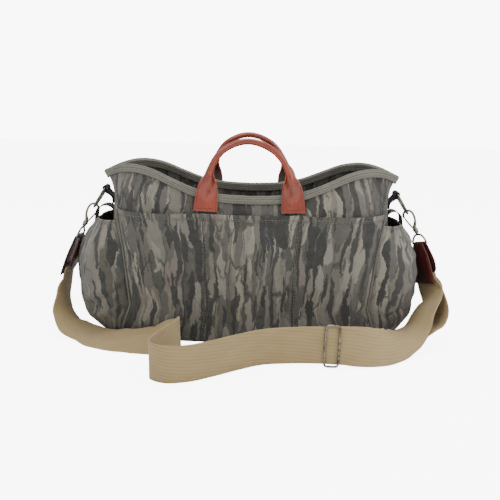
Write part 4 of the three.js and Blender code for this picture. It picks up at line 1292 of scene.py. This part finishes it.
    def piping(self, finishes: Finishes) -> None:
        """Lays the corded piping in the side seams of the panel."""
        stock = Stock()
        out = np.array([POCKET_GAP + POCKET_CLOTH + 0.9])
        for sign in (-1.0, 1.0):
            line = []
            for share in np.linspace(0.02, 0.99, 80):
                height = float(share) * POCKET_TOP
                limit = self.outline.turn_at(height, self.edge(float(share)))
                turn = np.array([sign * (limit + 0.006)])
                line.append(self.outline.off_wall(turn, np.array([height]), out)[0])
            rod(stock, np.array(line), 1.7, sides=10)
        settle(stock.make("seam_piping", [finishes.piping]))


@dataclass
class EndPocket:
    """A full pocket round one end of the bag."""

    outline: BagOutline
    side: Side
    fullness: float
    creases: Array
    columns: int = 150
    rows: int = 96
    tab_width: float = 25.0
    profile: Array = field(default_factory=lambda: np.array([
        [0.012, 0.6], [0.06, 10.0], [0.16, 28.0], [0.3, 41.0], [0.43, 46.0], [0.56, 45.0],
        [0.69, 37.0], [0.77, 28.0], [0.82, 21.0]]))

    def surface(self, place: Array, share: float, creased: float = 1.0) -> Array:
        """Outer face of the pocket along one height.

        Args:
            place: From -1 at the front seam to 1 at the back seam.
            share: Share of the lowest rim.
            creased: Share of the creases that shows.

        Returns:
            The points, in millimetres.
        """
        height = share * RIM_LOW
        edge = HALF_LENGTH * float(read(PANEL_EDGE, height / POCKET_TOP))
        seam = self.outline.turn_at(height, edge) + 0.012
        turn = 1 + place * (1 - seam)
        around = 1 - np.abs(place) ** 2.4
        fold = 1 + 0.05 * np.sin(place * 9 + share * 5 + self.side.sign)
        droop = height - 8 * around * max(0.0, share - 0.7) / 0.12 * 0.5
        off = self.fullness * float(read_smooth(self.profile, share)) * around * fold
        s = place * 95.0
        ease = np.minimum(1.0, around * 2.2) * float(smoothstep(share, 0.015, 0.1)) * creased
        move = folds(s, np.full_like(s, height), self.creases)
        seed = int(self.side.sign)
        move = move + 1.1 * ripple(s / 24 + 9, np.full_like(s, height / 34), 41 + seed)
        move = move + 1.0 * ripple(s / 9 + height / 30, np.full_like(s, height / 12), 43 + seed)
        out = POCKET_GAP + POCKET_CLOTH + np.maximum(off + ease * move, -0.2)
        points = self.outline.off_wall(turn, droop, out)
        points[..., 0] *= self.side.sign
        return points

    def build(self, finishes: Finishes) -> None:
        """Makes the pocket with its stitches and its black tab."""
        places = np.linspace(-1.0, 1.0, self.columns + 1)
        shares = np.concatenate([np.linspace(0.012, 0.77, self.rows - 14), np.linspace(0.775, 0.82, 14)])
        rows = np.stack([self.surface(places, float(s)) for s in shares])
        if self.side is Side.LEFT:
            rows = rows[:, ::-1]
        stock = Stock()
        thick_cloth(stock, rows, POCKET_CLOTH, cloth_coords(rows, (411.0 + 200 * self.side.sign, 77.0)))
        wide = np.linspace(-0.97, 0.97, 180)
        for share in (0.797, 0.806):
            line = self.surface(wide, share)
            upper = self.surface(wide, share + 0.004)
            out = unit(np.cross(np.gradient(line, axis=0), upper - line)) * self.side.sign
            stitches(stock, line + out * 0.15, out, 4.4, 3.1, 0.36, finish=2)
        name = f"end_pocket_{self.side.value}"
        cloth = stock.make(f"{name}_cloth", [finishes.canvas, finishes.lining, finishes.thread])
        settle(cloth, [name])
        self.black_tab_and_mouth_shade(finishes)

    def black_tab_and_mouth_shade(self, finishes: Finishes) -> None:
        """Arches the black webbing tab from the end wall over to the pocket's rim; its black also paints the
        shade inside the pocket's mouth.
        """
        wall = abs(float(self.outline.off_wall(np.array([1.0]), np.array([166.0]), np.array([1.0]))[0][0]))
        rim = abs(float(self.surface(np.array([0.0]), 0.80)[0][0]))
        reach = rim - wall
        pairs = np.array([
            [wall, 158.0], [wall + 0.4, 167.0], [wall + 0.26 * reach, 174.0], [wall + 0.58 * reach, 175.5],
            [rim - 0.6, 170.0], [rim + 1.6, 160.0], [rim + 2.4, 152.0]])
        path = spline(np.column_stack([self.side.sign * pairs[:, 0], np.zeros(7), pairs[:, 1]]), 60)
        stock = Stock()
        ribbon(stock, path, np.tile([0.0, 1.0, 0.0], (60, 1)), self.tab_width, 1.5)
        settle(stock.make(f"pocket_tab_{self.side.value}_webbing", [finishes.black]))


# ---------------------------------------------------------------- handles


@dataclass
class CarryHandle:
    """A leather strip sewn flat to the body, whose edges fold together into a rolled grip."""

    outline: BagOutline
    name: str
    sign: float
    spread: float = 115.0
    top: float = 273.0
    leather: float = 3.0
    strip: float = 2.3
    # Columns: height share, x share of half the spread, strip width (mm), curl (turns), lean (mm).
    stations: Array = field(default_factory=lambda: np.array([
        [0.662, 1.000, 31.5, 0.015, 0.0],
        [0.690, 0.995, 31.0, 0.015, 0.0],
        [0.715, 0.985, 30.4, 0.03, 0.0],
        [0.745, 0.972, 29.4, 0.09, 0.3],
        [0.775, 0.960, 28.6, 0.20, 0.6],
        [0.805, 0.943, 28.0, 0.38, 0.9],
        [0.830, 0.922, 27.5, 0.60, 1.0],
        [0.852, 0.898, 27.0, 0.80, 1.0],
        [0.885, 0.835, 26.5, 0.95, 0.5],
        [0.918, 0.745, 26.0, 0.985, 0.0],
        [0.950, 0.610, 26.0, 0.985, -1.0],
        [0.975, 0.430, 26.0, 0.985, -2.0],
        [0.993, 0.220, 26.0, 0.985, -2.5],
        [1.000, 0.000, 26.0, 0.985, -3.0],
    ]))

    def middle_line(self) -> tuple[Array, Array, Array, Array]:
        """Middle line of the strip's back with its width and curl.

        Returns:
            Points, widths, curls and signed places along the arch (-1 to 1).
        """
        rows = self.stations
        rise = np.column_stack([rows, -np.ones(len(rows))])
        arch = np.vstack([rise, rise[:-1][::-1] * [1, 1, 1, 1, 1, -1]])
        foot = POCKET_TOP * 0.92
        wall_low = -self.outline.wall(self.outline.turn_at(foot, self.spread / 2), foot / RIM_LOW)[1]
        rim = self.outline.turn_at(RIM_LOW - 2, self.spread / 2)
        wall_rim = -self.outline.wall(rim, (RIM_LOW - 1) / RIM_LOW)[1]
        control = []
        for share, across, width, curl, lean, side in arch:
            z = share * self.top
            x = -2 + side * across * self.spread / 2 - 3 * max(0.0, share - 0.8) / 0.2
            k = np.clip((z - foot) / (RIM_LOW - foot), 0.0, 1.0)
            wall = wall_low * (1 - k) + wall_rim * k
            y = wall + SEAM_GAP + BINDING_CLOTH + 1.9 + lean
            control.append([x, -self.sign * y, z, width, curl, side * (1 - share) * 3])
        line = spline(np.array(control), 190)
        return line[:, :3], line[:, 3], np.clip(line[:, 4], 0.012, 0.985), line[:, 5]

    @staticmethod
    def neck(run: Array) -> Array:
        """Height of the ridge in which the rolled grip dies away on the tab."""
        return 3.0 * smoothstep(run, 10.0, 34.0) * (1 - smoothstep(run, 40.0, 56.0))

    def build(self, finishes: Finishes) -> None:
        """Makes the strip, its sewn tabs and its stitches."""
        points, widths, curls, _ = self.middle_line()
        line = tangents(points)
        front = np.array([0.0, -self.sign, 0.0])
        across = unit(np.cross(line, front))
        out = unit(np.cross(across, line))
        if np.dot(out[0], front) < 0:
            out = -out
        share = np.linspace(-1.0, 1.0, 41)
        turn = 2 * np.pi * curls[:, None]
        radius = widths[:, None] / turn
        depth = radius * (1 - np.cos(turn / 2)) + self.strip * np.maximum(0.0, np.cos(turn / 2))
        run = run_along(points)
        neck = self.neck(run) + self.neck(run[-1] - run)

        def face(places: Array, inset: float) -> Array:
            """Places of the strip's grain side, or of a side at a distance inside it."""
            angle = turn * places / 2
            reach = radius - inset
            from_middle = np.abs(places) * widths[:, None] / 2
            hollow = 0.35 * np.exp(-((from_middle - 9.5) / 3.2) ** 2)
            ridge = neck[:, None] * (np.exp(-(from_middle / 4.6) ** 2) - hollow)
            deep = depth - radius + reach * np.cos(angle) + ridge
            side = reach * np.sin(angle)
            return points[:, None] + side[..., None] * across[:, None] + deep[..., None] * out[:, None]

        outer, inner = face(share[None, :], 0.0), face(share[None, :], self.strip)
        sections = np.concatenate([outer, inner[:, ::-1]], axis=1)
        u = np.concatenate([share * 15, share[::-1] * 15, share[:1] * 15])
        coords = np.stack(np.meshgrid(u, run), axis=-1)
        stock = Stock()
        stock.grid(sections, coords, ring_cols=True, finish=lambda i, j: 1 if 41 <= j < 81 else 0)
        for start in (True, False):
            window = run < 36.0 if start else run > run[-1] - 36.0
            for edge in (-0.85, 0.85):
                path = face(np.array([[edge]]), -0.12)[:, 0][window]
                stitches(stock, path, out[window], 3.6, 2.7, 0.42, finish=2)
            n = int(np.argmin(np.abs(run - (3.5 if start else run[-1] - 3.5))))
            row = face(np.linspace(-0.78, 0.78, 20)[None, :], -0.12)[n]
            stitches(stock, row, np.repeat(out[n:n + 1], 20, axis=0), 3.6, 2.7, 0.42, finish=2)
        piece = stock.make(f"{self.name}_leather", [finishes.tan, finishes.flesh, finishes.rust])
        settle(piece, [self.name])


# ---------------------------------------------------------------- hardware


@dataclass
class HookSet:
    """Tab, ring, snap hook, gate and eye at one end of the bag."""

    outline: BagOutline
    side: Side
    wire: float = 3.4
    ring_width: float = 27.0
    ring_reach: float = 33.0
    eye_width: float = 36.0

    def mirrored(self, vector: Sequence[float]) -> Array:
        """A vector of the right end turned to this end."""
        return np.array([self.side.sign * vector[0], vector[1], vector[2]], dtype=float)

    @property
    def pivot(self) -> Array:
        """Bar of the bag ring."""
        return self.mirrored((204.5, 0.0, 199.5))

    @property
    def ring_down(self) -> Array:
        """Direction in which the ring hangs."""
        return unit(self.mirrored((0.53, 0.0, -0.848)))

    @property
    def hook_down(self) -> Array:
        """Direction in which the hook hangs."""
        return unit(self.mirrored((0.5, 0.0, -0.866)))

    @property
    def hook_out(self) -> Array:
        """Direction out from the bag in the hook's plane."""
        down = unit(np.array([0.5, 0.0, -0.866]))
        return unit(np.array([self.side.sign * -down[2], 0.0, down[0]]))

    @property
    def hook_top(self) -> Array:
        """Top of the hook's loop, inside the ring."""
        return self.pivot + self.ring_down * (self.ring_reach - self.wire - 0.9)

    def ends(self) -> tuple[Array, Array, Array]:
        """Top of the eye with the down and across directions of the eye and the strap's tab."""
        left = self.side is Side.LEFT
        down = unit(np.array([-0.31, -0.02, -0.95] if left else [0.22, -0.16, -0.96]))
        across = np.array([-0.05, -1.0, 0.03] if left else [0.31, -0.93, 0.2])
        across = unit(across - np.dot(across, down) * down)
        return self.hook_top + self.hook_down * (HOOK_LENGTH + 1.9), down, across

    def ring_tab(self, finishes: Finishes) -> None:
        """Folds the webbing tab round the ring's bar and sews it down."""
        turn, gap = np.ones(4), np.full(4, SEAM_GAP + 1.2)
        wall = np.abs(self.outline.off_wall(turn, np.array([176, 186, 187, 178]), gap)[:, 0])
        x, z = 204.5, 199.5
        pairs = np.array([
            [wall[0], 176], [wall[1] + 0.1, 186], [x - 3.7, z - 2.6], [x - 3.1, z + 1.5], [x, z + 3.4],
            [x + 3.1, z + 1.2], [x + 2.2, z - 2.6], [x - 1.2, z - 6],
            [wall[2] + 3.1, 187], [wall[3] + 2.7, 178]])
        path = spline(np.column_stack([self.side.sign * pairs[:, 0], np.zeros(10), pairs[:, 1]]), 70)
        stock = Stock()
        ribbon(stock, path, np.tile([0.0, 1.0, 0.0], (70, 1)), self.ring_width - 5, 1.5)
        outer = path[-14:-2]
        normal = np.cross(tangents(outer), [0.0, 1.0, 0.0])
        normal = normal * np.sign(np.dot(normal[0], self.mirrored((1.0, 0.0, 0.0))))
        for off in (-8.0, 8.0):
            row = outer + np.array([0.0, off, 0.0]) + normal * 0.85
            stitches(stock, row, normal, 2.6, 1.9, 0.3, finish=1)
        cross = outer[4] + np.linspace(-8.0, 8.0, 12)[:, None] * np.array([0.0, 1.0, 0.0]) + normal[4] * 0.85
        stitches(stock, cross, np.repeat(normal[4:5], 12, axis=0), 2.6, 1.9, 0.3, finish=1)
        name = f"ring_tab_{self.side.value}"
        settle(stock.make(f"{name}_webbing", [finishes.black, finishes.black]), [name])

    def bent(self, origin: Array, across: Array, down: Array, path: Array, radius: Array | float,
             closed: bool, count: int, sides: int = 16) -> Stock:
        """Bends a wire in the plane of two directions."""
        flat = spline(path, count, closed)
        points = origin + flat[:, :1] * across + flat[:, 1:2] * down
        stock = Stock()
        rod(stock, points, radius, sides=sides, closed=closed, across=np.cross(across, down))
        return stock

    def bag_ring(self, finishes: Finishes) -> None:
        """Bends the D-ring that hangs in the tab."""
        half = self.ring_width / 2
        path = [[-half + 2, 0], [0, 0], [half - 2, 0], [half, 2], [half, 15], [half - 2, 22]]
        for k in range(1, 6):
            angle = math.pi * k / 6
            path.append([(half - 3) * math.cos(angle), 23.5 + (self.ring_reach - 23.5) * math.sin(angle)])
        path += [[-half + 2, 22], [-half, 15], [-half, 2]]
        across = np.array([0.0, -1.0, 0.0])
        stock = self.bent(self.pivot, across, self.ring_down, np.array(path, dtype=float), 1.55, True, 110)
        name = f"bag_ring_{self.side.value}"
        settle(stock.make(f"{name}_wire", [finishes.metal]), [name])

    def snap_hook(self, finishes: Finishes) -> None:
        """Casts the hook with its swivel barrel."""
        path = np.array([
            [-5.9, 8.6], [-6.4, 5.2], [-4.6, 1.9], [-1.2, 0.1], [2.6, 0.6], [5.6, 3.4], [6.9, 7.6],
            [6.8, 12.6], [5.7, 17.6], [3.6, 22.0], [1.2, 25.2], [0.0, 28.5]])
        flat = spline(path, 90)
        share = np.linspace(0.0, 1.0, 90)
        swell = 0.75 + 0.25 * smoothstep(share, 0.0, 0.1) + 0.55 * smoothstep(share, 0.72, 1.0)
        radius = (self.wire / 2) * swell
        points = self.hook_top + flat[:, :1] * self.hook_out + flat[:, 1:2] * self.hook_down
        stock = Stock()
        plane = np.cross(self.hook_out, self.hook_down)
        rod(stock, points, radius, sides=16, across=plane)
        barrel = np.array([
            [27.6, 2.2], [28.2, 3.2], [29.6, 3.7], [32.4, 3.7], [33.4, 3.2], [33.8, 2.5],
            [34.2, 2.5], [34.5, 3.1], [35.7, 3.1], [36.3, 2.4], [36.6, 1.4]])
        rod(stock, self.hook_top + barrel[:, :1] * self.hook_down, barrel[:, 1], sides=24)
        knuckle = self.hook_top + self.hook_out * -2.3 + self.hook_down * 26.4
        pin = knuckle + np.linspace(-2.4, 2.4, 5)[:, None] * unit(plane)
        rod(stock, pin, np.array([0.9, 1.25, 1.25, 1.25, 0.9]), sides=16)
        name = f"snap_hook_{self.side.value}"
        settle(stock.make(f"{name}_cast", [finishes.metal]), [name])

    def snap_gate(self, finishes: Finishes) -> None:
        """Bends the spring gate that closes the hook."""
        path = np.array([[-6.0, 9.9], [-5.2, 14.0], [-4.0, 19.4], [-2.6, 24.8]])
        stock = self.bent(self.hook_top, self.hook_out, self.hook_down, path, 1.25, False, 30)
        name = f"snap_gate_{self.side.value}"
        body = Body.GATE_LEFT if self.side is Side.LEFT else Body.GATE_RIGHT
        settle(stock.make(f"{name}_wire", [finishes.metal]), [name], body)

    def hook_eye(self, finishes: Finishes) -> None:
        """Bends the eye that holds the strap's leather tab."""
        top, down, across = self.ends()
        half = self.eye_width / 2
        path = np.array([
            [-5, 0], [5, 0], [11, 2.4], [half - 1.2, 8.5], [half, 12], [half - 1.4, EYE_DROP - 1.2],
            [half - 4, EYE_DROP], [0, EYE_DROP], [4 - half, EYE_DROP],
            [1.4 - half, EYE_DROP - 1.2], [-half, 12],
            [1.2 - half, 8.5], [-11, 2.4]], dtype=float)
        stock = self.bent(top, across, down, path, 1.5, True, 120)
        name = f"hook_eye_{self.side.value}"
        settle(stock.make(f"{name}_wire", [finishes.metal]), [name])

    def build(self, finishes: Finishes) -> None:
        """Makes every piece of the set."""
        self.ring_tab(finishes)
        self.bag_ring(finishes)
        self.snap_hook(finishes)
        self.snap_gate(finishes)
        self.hook_eye(finishes)


def ribbon(stock: Stock, points: Array, widths: Array, width: Array | float, thickness: float,
           finish: int = 0, rounds: int = 3, across_steps: int = 10, floor: float | None = None) -> None:
    """Adds a flat strap with rounded edges.

    Args:
        stock: Where the strap goes.
        points: Middle line.
        widths: Direction across the strap at each point.
        width: Width, one or one a point.
        thickness: Thickness.
        finish: Number of the finish.
        rounds: Points on each rounded edge.
        across_steps: Faces across the strap.
        floor: Lowest height that a point may have.
    """
    count = len(points)
    line = tangents(points)
    across = unit(widths - np.sum(widths * line, axis=1, keepdims=True) * line)
    normal = np.cross(line, across)
    half = np.broadcast_to(np.asarray(width, dtype=float), (count,))[:, None] / 2
    flat = np.linspace(-1.0, 1.0, across_steps + 1)
    bend = np.linspace(-90.0, 90.0, rounds + 2)[1:-1]
    place, rise = [], []
    reach = thickness / 2
    for k in flat:
        place.append(("flat", k, 1.0))
    for a in bend[::-1]:
        place.append(("edge", 1.0, a))
    for k in flat[::-1]:
        place.append(("flat", k, -1.0))
    for a in bend:
        place.append(("edge", -1.0, a))
    columns, girth = [], []
    for kind, k, a in place:
        if kind == "flat":
            side = k * (half - reach)
            up = a * reach
            girth.append(k * float(half.mean()))
        else:
            side = k * (half - reach + reach * math.cos(math.radians(a)))
            up = math.sin(math.radians(a)) * reach
            girth.append(k * float(half.mean()))
        columns.append(points + side * across + up * normal)
    rows = np.stack(columns, axis=1)
    if floor is not None:
        rows[..., 2] += np.maximum(0.0, floor - rows[..., 2].min(axis=1))[:, None]
    u, v = np.meshgrid(np.array(girth + girth[:1]), run_along(points))
    stock.grid(rows, np.stack([u, v], axis=-1), ring_cols=True, finish=lambda i, j: finish)


@dataclass
class ShoulderStrap:
    """The long webbing strap on the floor, its leather ends and its slider."""

    left: HookSet
    right: HookSet
    tab_length: float = 56.0
    tab_inset: float = 13.0
    slider_x: float = 103.0
    slider_width: float = 17.0
    slider_height: float = 56.0
    steps: int = 520
    loop_span: tuple[float, float] = (0.86, 0.985)
    loop_open: tuple[float, float] = (7.0, 14.0)
    # In widths of the webbing. Columns: centre x, y, z, then the direction from the upper to the lower edge.
    stations: Array = field(default_factory=lambda: np.array([
        [-5.24, -0.14, 1.20, -0.03, -1.00, 0.05],
        [-5.24, -0.46, 0.84, -0.16, -0.95, 0.20],
        [-5.12, -0.80, 0.43, -0.40, -0.88, 0.15],
        [-4.82, -1.08, 0.20, -0.50, -0.85, -0.10],
        [-4.34, -1.46, 0.14, -0.35, -0.93, -0.13],
        [-3.92, -1.84, 0.14, -0.06, -0.98, -0.18],
        [-3.30, -2.10, 0.19, 0.06, -0.95, -0.30],
        [-2.55, -2.26, 0.25, 0.06, -0.89, -0.45],
        [-2.05, -2.34, 0.38, 0.00, -0.66, -0.75],
        [-1.76, -2.62, 0.47, 0.10, -0.30, -0.95],
        [-1.88, -3.10, 0.50, 0.12, -0.08, -0.99],
        [-2.16, -3.75, 0.50, 0.05, 0.05, -0.99],
        [-2.30, -4.42, 0.50, 0.00, 0.16, -0.98],
        [-1.92, -4.72, 0.50, 0.00, 0.18, -0.98],
        [-1.40, -4.62, 0.50, 0.00, 0.20, -0.98],
        [-0.86, -4.26, 0.50, 0.00, 0.20, -0.98],
        [-0.20, -3.72, 0.50, 0.00, 0.18, -0.98],
        [0.36, -3.36, 0.51, 0.00, 0.15, -0.99],
        [1.10, -3.26, 0.54, 0.00, 0.10, -0.99],
        [1.80, -3.30, 0.58, 0.00, 0.06, -0.99],
        [2.40, -3.29, 0.57, 0.00, 0.02, -0.99],
        [2.95, -3.14, 0.50, 0.00, -0.36, -0.92],
        [3.36, -2.94, 0.44, 0.05, -0.64, -0.76],
        [3.72, -2.62, 0.40, 0.10, -0.82, -0.55],
        [4.06, -2.20, 0.40, 0.20, -0.93, -0.28],
        [4.42, -1.72, 0.46, 0.32, -0.93, 0.00],
        [4.80, -1.26, 0.64, 0.36, -0.90, 0.20],
        [5.08, -0.92, 0.90, 0.28, -0.92, 0.24],
        [5.18, -0.60, 1.20, 0.26, -0.93, 0.22],
    ]))
    # Leather leaf folded over the eye. Columns: share of the tab's length, out from its middle, width share.
    leaf: Array = field(default_factory=lambda: np.array([
        [1.0, -4.4, 1.0], [0.8, -4.3, 1.0], [0.5, -4.1, 0.94], [0.25, -3.7, 0.78], [0.08, -3.4, 0.6],
        [0.0, -3.2, 0.5], [-0.045, -1.8, 0.5], [-0.057, 0.0, 0.5], [-0.045, 1.8, 0.5],
        [0.0, 3.2, 0.5], [0.08, 3.4, 0.6], [0.25, 3.7, 0.78], [0.5, 4.1, 0.94],
        [0.7, 4.3, 0.82], [0.86, 4.4, 0.34],
    ]))

    def tab_point(self, hooks: HookSet, along: float, out: float) -> Array:
        """Point of a leather tab: along it from the eye's lower bar and out from its middle."""
        top, down, across = hooks.ends()
        return top + down * (EYE_DROP + along) + unit(np.cross(across, down)) * out

    def route(self) -> tuple[Array, Array, Array]:
        """Middle line of the strap, the direction across it, and each point's share of the length."""
        across_left, across_right = self.left.ends()[2], self.right.ends()[2]
        inside = self.tab_length - self.tab_inset
        points = [self.tab_point(self.left, inside, 0), self.tab_point(self.left, self.tab_length - 2, 0)]
        widths = [across_left, across_left]
        for row in self.stations:
            points.append(row[:3] * WEB_WIDTH)
            widths.append(unit(row[3:]))
        points += [self.tab_point(self.right, self.tab_length + 1, 0), self.tab_point(self.right, inside, 0)]
        widths += [across_right, across_right]
        knots = np.array(points)
        line = spline(knots, self.steps + 1)
        nearest = np.array([np.argmin(np.linalg.norm(line - knot, axis=1)) for knot in knots])
        nearest[0], nearest[-1] = 0, self.steps
        index = np.arange(self.steps + 1)
        step = np.clip(np.searchsorted(nearest, index, side="right") - 1, 0, len(knots) - 2)
        k = (index - nearest[step]) / np.maximum(1, nearest[step + 1] - nearest[step])
        k = k * k * (3 - 2 * k)
        table = np.array(widths)
        across = unit(table[step] * (1 - k[:, None]) + table[step + 1] * k[:, None])
        return line, across, index / self.steps

    def webbing(self, finishes: Finishes) -> None:
        """Lays the webbing: one run, then the layer that comes back from the right tab to the slider."""
        line, across, share = self.route()
        front = np.nonzero((share > 0.4) & (share < 0.9) & (line[:, 0] > self.slider_x + 2))[0][0]
        end = share[front]
        normal = unit(np.cross(tangents(line), across))
        belly = np.maximum(0.0, np.sin(np.pi * smoothstep(share, *self.loop_span))) ** 1.5
        apart = smoothstep(share, end - 0.05, end) * (WEB_CLOTH / 2 + 0.35)
        first = line - normal * (apart + self.loop_open[0] * belly)[:, None]
        second = (line + normal * (apart + self.loop_open[1] * belly)[:, None])[share > end]
        angle = np.radians([-45.0, 0.0, 45.0])[:, None]
        reach = WEB_CLOTH / 2 + 0.35
        turn = line[-1] + normal[-1] * reach * np.sin(angle) + tangents(line)[-1] * reach * np.cos(angle)
        points = np.vstack([first, turn, second[::-1]])
        widths = np.vstack([across, np.repeat(across[-1:], 3, axis=0), across[share > end][::-1]])
        stock = Stock()
        wear = 0.5 * ripple(run_along(points) / 60, np.zeros(len(points)), 51)
        ribbon(stock, points, widths, WEB_WIDTH + wear * 0.6, WEB_CLOTH, across_steps=14, floor=0.3)
        settle(stock.make("strap_webbing_cloth", [finishes.webbing]), ["strap_webbing"])
        LOG.info("strap length %.0f mm", run_along(line)[-1])

    def slider(self, finishes: Finishes) -> None:
        """Bends the wire slider in front of the webbing."""
        line, across, share = self.route()
        n = np.nonzero((share > 0.4) & (share < 0.9) & (line[:, 0] > self.slider_x))[0][0]
        tangent = unit(line[n + 1] - line[n])
        down = unit(across[n] - np.dot(across[n], tangent) * tangent)
        front = np.cross(tangent, down)
        front = front if front[1] < 0 else -front
        origin = line[n] + front * (WEB_CLOTH + 2.2)
        path = []
        half_w, half_h, corner = self.slider_width / 2, (self.slider_height - 2.4) / 2, 3.0
        for quarter, (sx, sy) in enumerate(((1, -1), (1, 1), (-1, 1), (-1, -1))):
            for k in range(4):
                angle = (math.pi / 2) * (quarter - 1 + k / 3)
                path.append([
                    sx * (half_w - corner) + corner * math.cos(angle),
                    sy * (half_h - corner) + corner * math.sin(angle)])
        stock = self.left.bent(origin, tangent, down, np.array(path), 1.45, True, 150, 12)
        settle(stock.make("strap_slider_wire", [finishes.metal]), ["strap_slider"])

    def tab(self, hooks: HookSet, finishes: Finishes) -> None:
        """Folds the leather tab over the eye and sews it to the webbing."""
        _, down, across = hooks.ends()
        control = np.array([
            [*self.tab_point(hooks, along * self.tab_length, out), share] for along, out, share in self.leaf])
        line = spline(control, 130)
        stock = Stock()
        wide = (WEB_WIDTH + 2) * np.clip(line[:, 3], 0.3, 1.0)
        ribbon(stock, line[:, :3], np.repeat(across[None], 130, axis=0), wide, 1.9, across_steps=10)
        normal = unit(np.cross(across, down))
        for window, direction in ((slice(2, 44), -1.0), (slice(86, 122), 1.0)):
            part = line[window]
            for edge in (-1.0, 1.0):
                path = part[:, :3] + across * (edge * (wide[window][:, None] / 2 - 3.0))
                path = path + normal * direction * 1.05
                out = np.repeat(normal[None] * direction, len(path), axis=0)
                stitches(stock, path, out, 3.6, 2.6, 0.4, finish=1)
        name = f"strap_tab_{hooks.side.value}"
        # The tabs' dark leather is partly painted shade.
        settle(stock.make(f"{name}_leather", [finishes.dark, finishes.rust]), [name])

    def build(self, finishes: Finishes) -> None:
        """Makes the whole strap."""
        self.tab(self.left, finishes)
        self.tab(self.right, finishes)
        self.webbing(finishes)
        self.slider(finishes)


# ---------------------------------------------------------------- assembly

LEFT_CREASES = np.array([
    [-84.0, 76.0, -50.0, 52.0, 5.5, 4.2], [-80.0, 40.0, -46.0, 26.0, 5.0, 3.6],
    [-74.0, 62.0, -40.0, 40.0, 4.5, -2.6], [-88.0, 120.0, -84.0, 30.0, 5.0, -3.0],
    [-60.0, 96.0, -20.0, 78.0, 8.0, -2.4], [-50.0, 130.0, -44.0, 84.0, 9.0, 2.0],
    [0.0, 140.0, 4.0, 70.0, 10.0, 1.6], [50.0, 120.0, 40.0, 60.0, 9.0, -2.0],
    [72.0, 58.0, 30.0, 36.0, 8.0, 2.6], [10.0, 30.0, 40.0, 52.0, 8.0, 1.8],
    [-30.0, 150.0, 30.0, 146.0, 6.0, -1.2],
])
RIGHT_CREASES = np.array([
    [-80.0, 62.0, -34.0, 96.0, 6.0, 3.8], [-84.0, 36.0, -46.0, 58.0, 5.5, -3.2],
    [-70.0, 134.0, -26.0, 142.0, 4.5, 3.0], [-72.0, 108.0, -30.0, 122.0, 6.0, 2.6],
    [-88.0, 120.0, -85.0, 30.0, 5.0, -2.8], [-40.0, 60.0, -34.0, 24.0, 8.0, 2.2],
    [8.0, 132.0, 0.0, 74.0, 10.0, -1.6], [44.0, 128.0, 52.0, 70.0, 9.0, 2.0],
    [70.0, 50.0, 36.0, 28.0, 8.0, 2.4], [-12.0, 44.0, 20.0, 28.0, 8.0, 1.6],
    [-44.0, 152.0, 10.0, 149.0, 5.0, 1.2],
])


def main() -> None:
    """Builds the studio and every piece of the bag in order."""
    logging.basicConfig(level=logging.INFO, format="%(name)s %(message)s", stream=sys.stdout)
    finishes = Finishes()
    Studio().build(finishes)
    outline = BagOutline()
    shell = BagShell(outline)
    shell.build(finishes)
    RimBinding(shell).build(finishes)
    FrontPockets(outline).build(finishes)
    EndPocket(outline, Side.LEFT, 1.0, LEFT_CREASES).build(finishes)
    EndPocket(outline, Side.RIGHT, 0.84, RIGHT_CREASES).build(finishes)
    CarryHandle(outline, "handle_front", 1.0).build(finishes)
    CarryHandle(outline, "handle_back", -1.0).build(finishes)
    left, right = HookSet(outline, Side.LEFT), HookSet(outline, Side.RIGHT)
    left.build(finishes)
    right.build(finishes)
    ShoulderStrap(left, right).build(finishes)


if __name__ == "__main__":
    main()
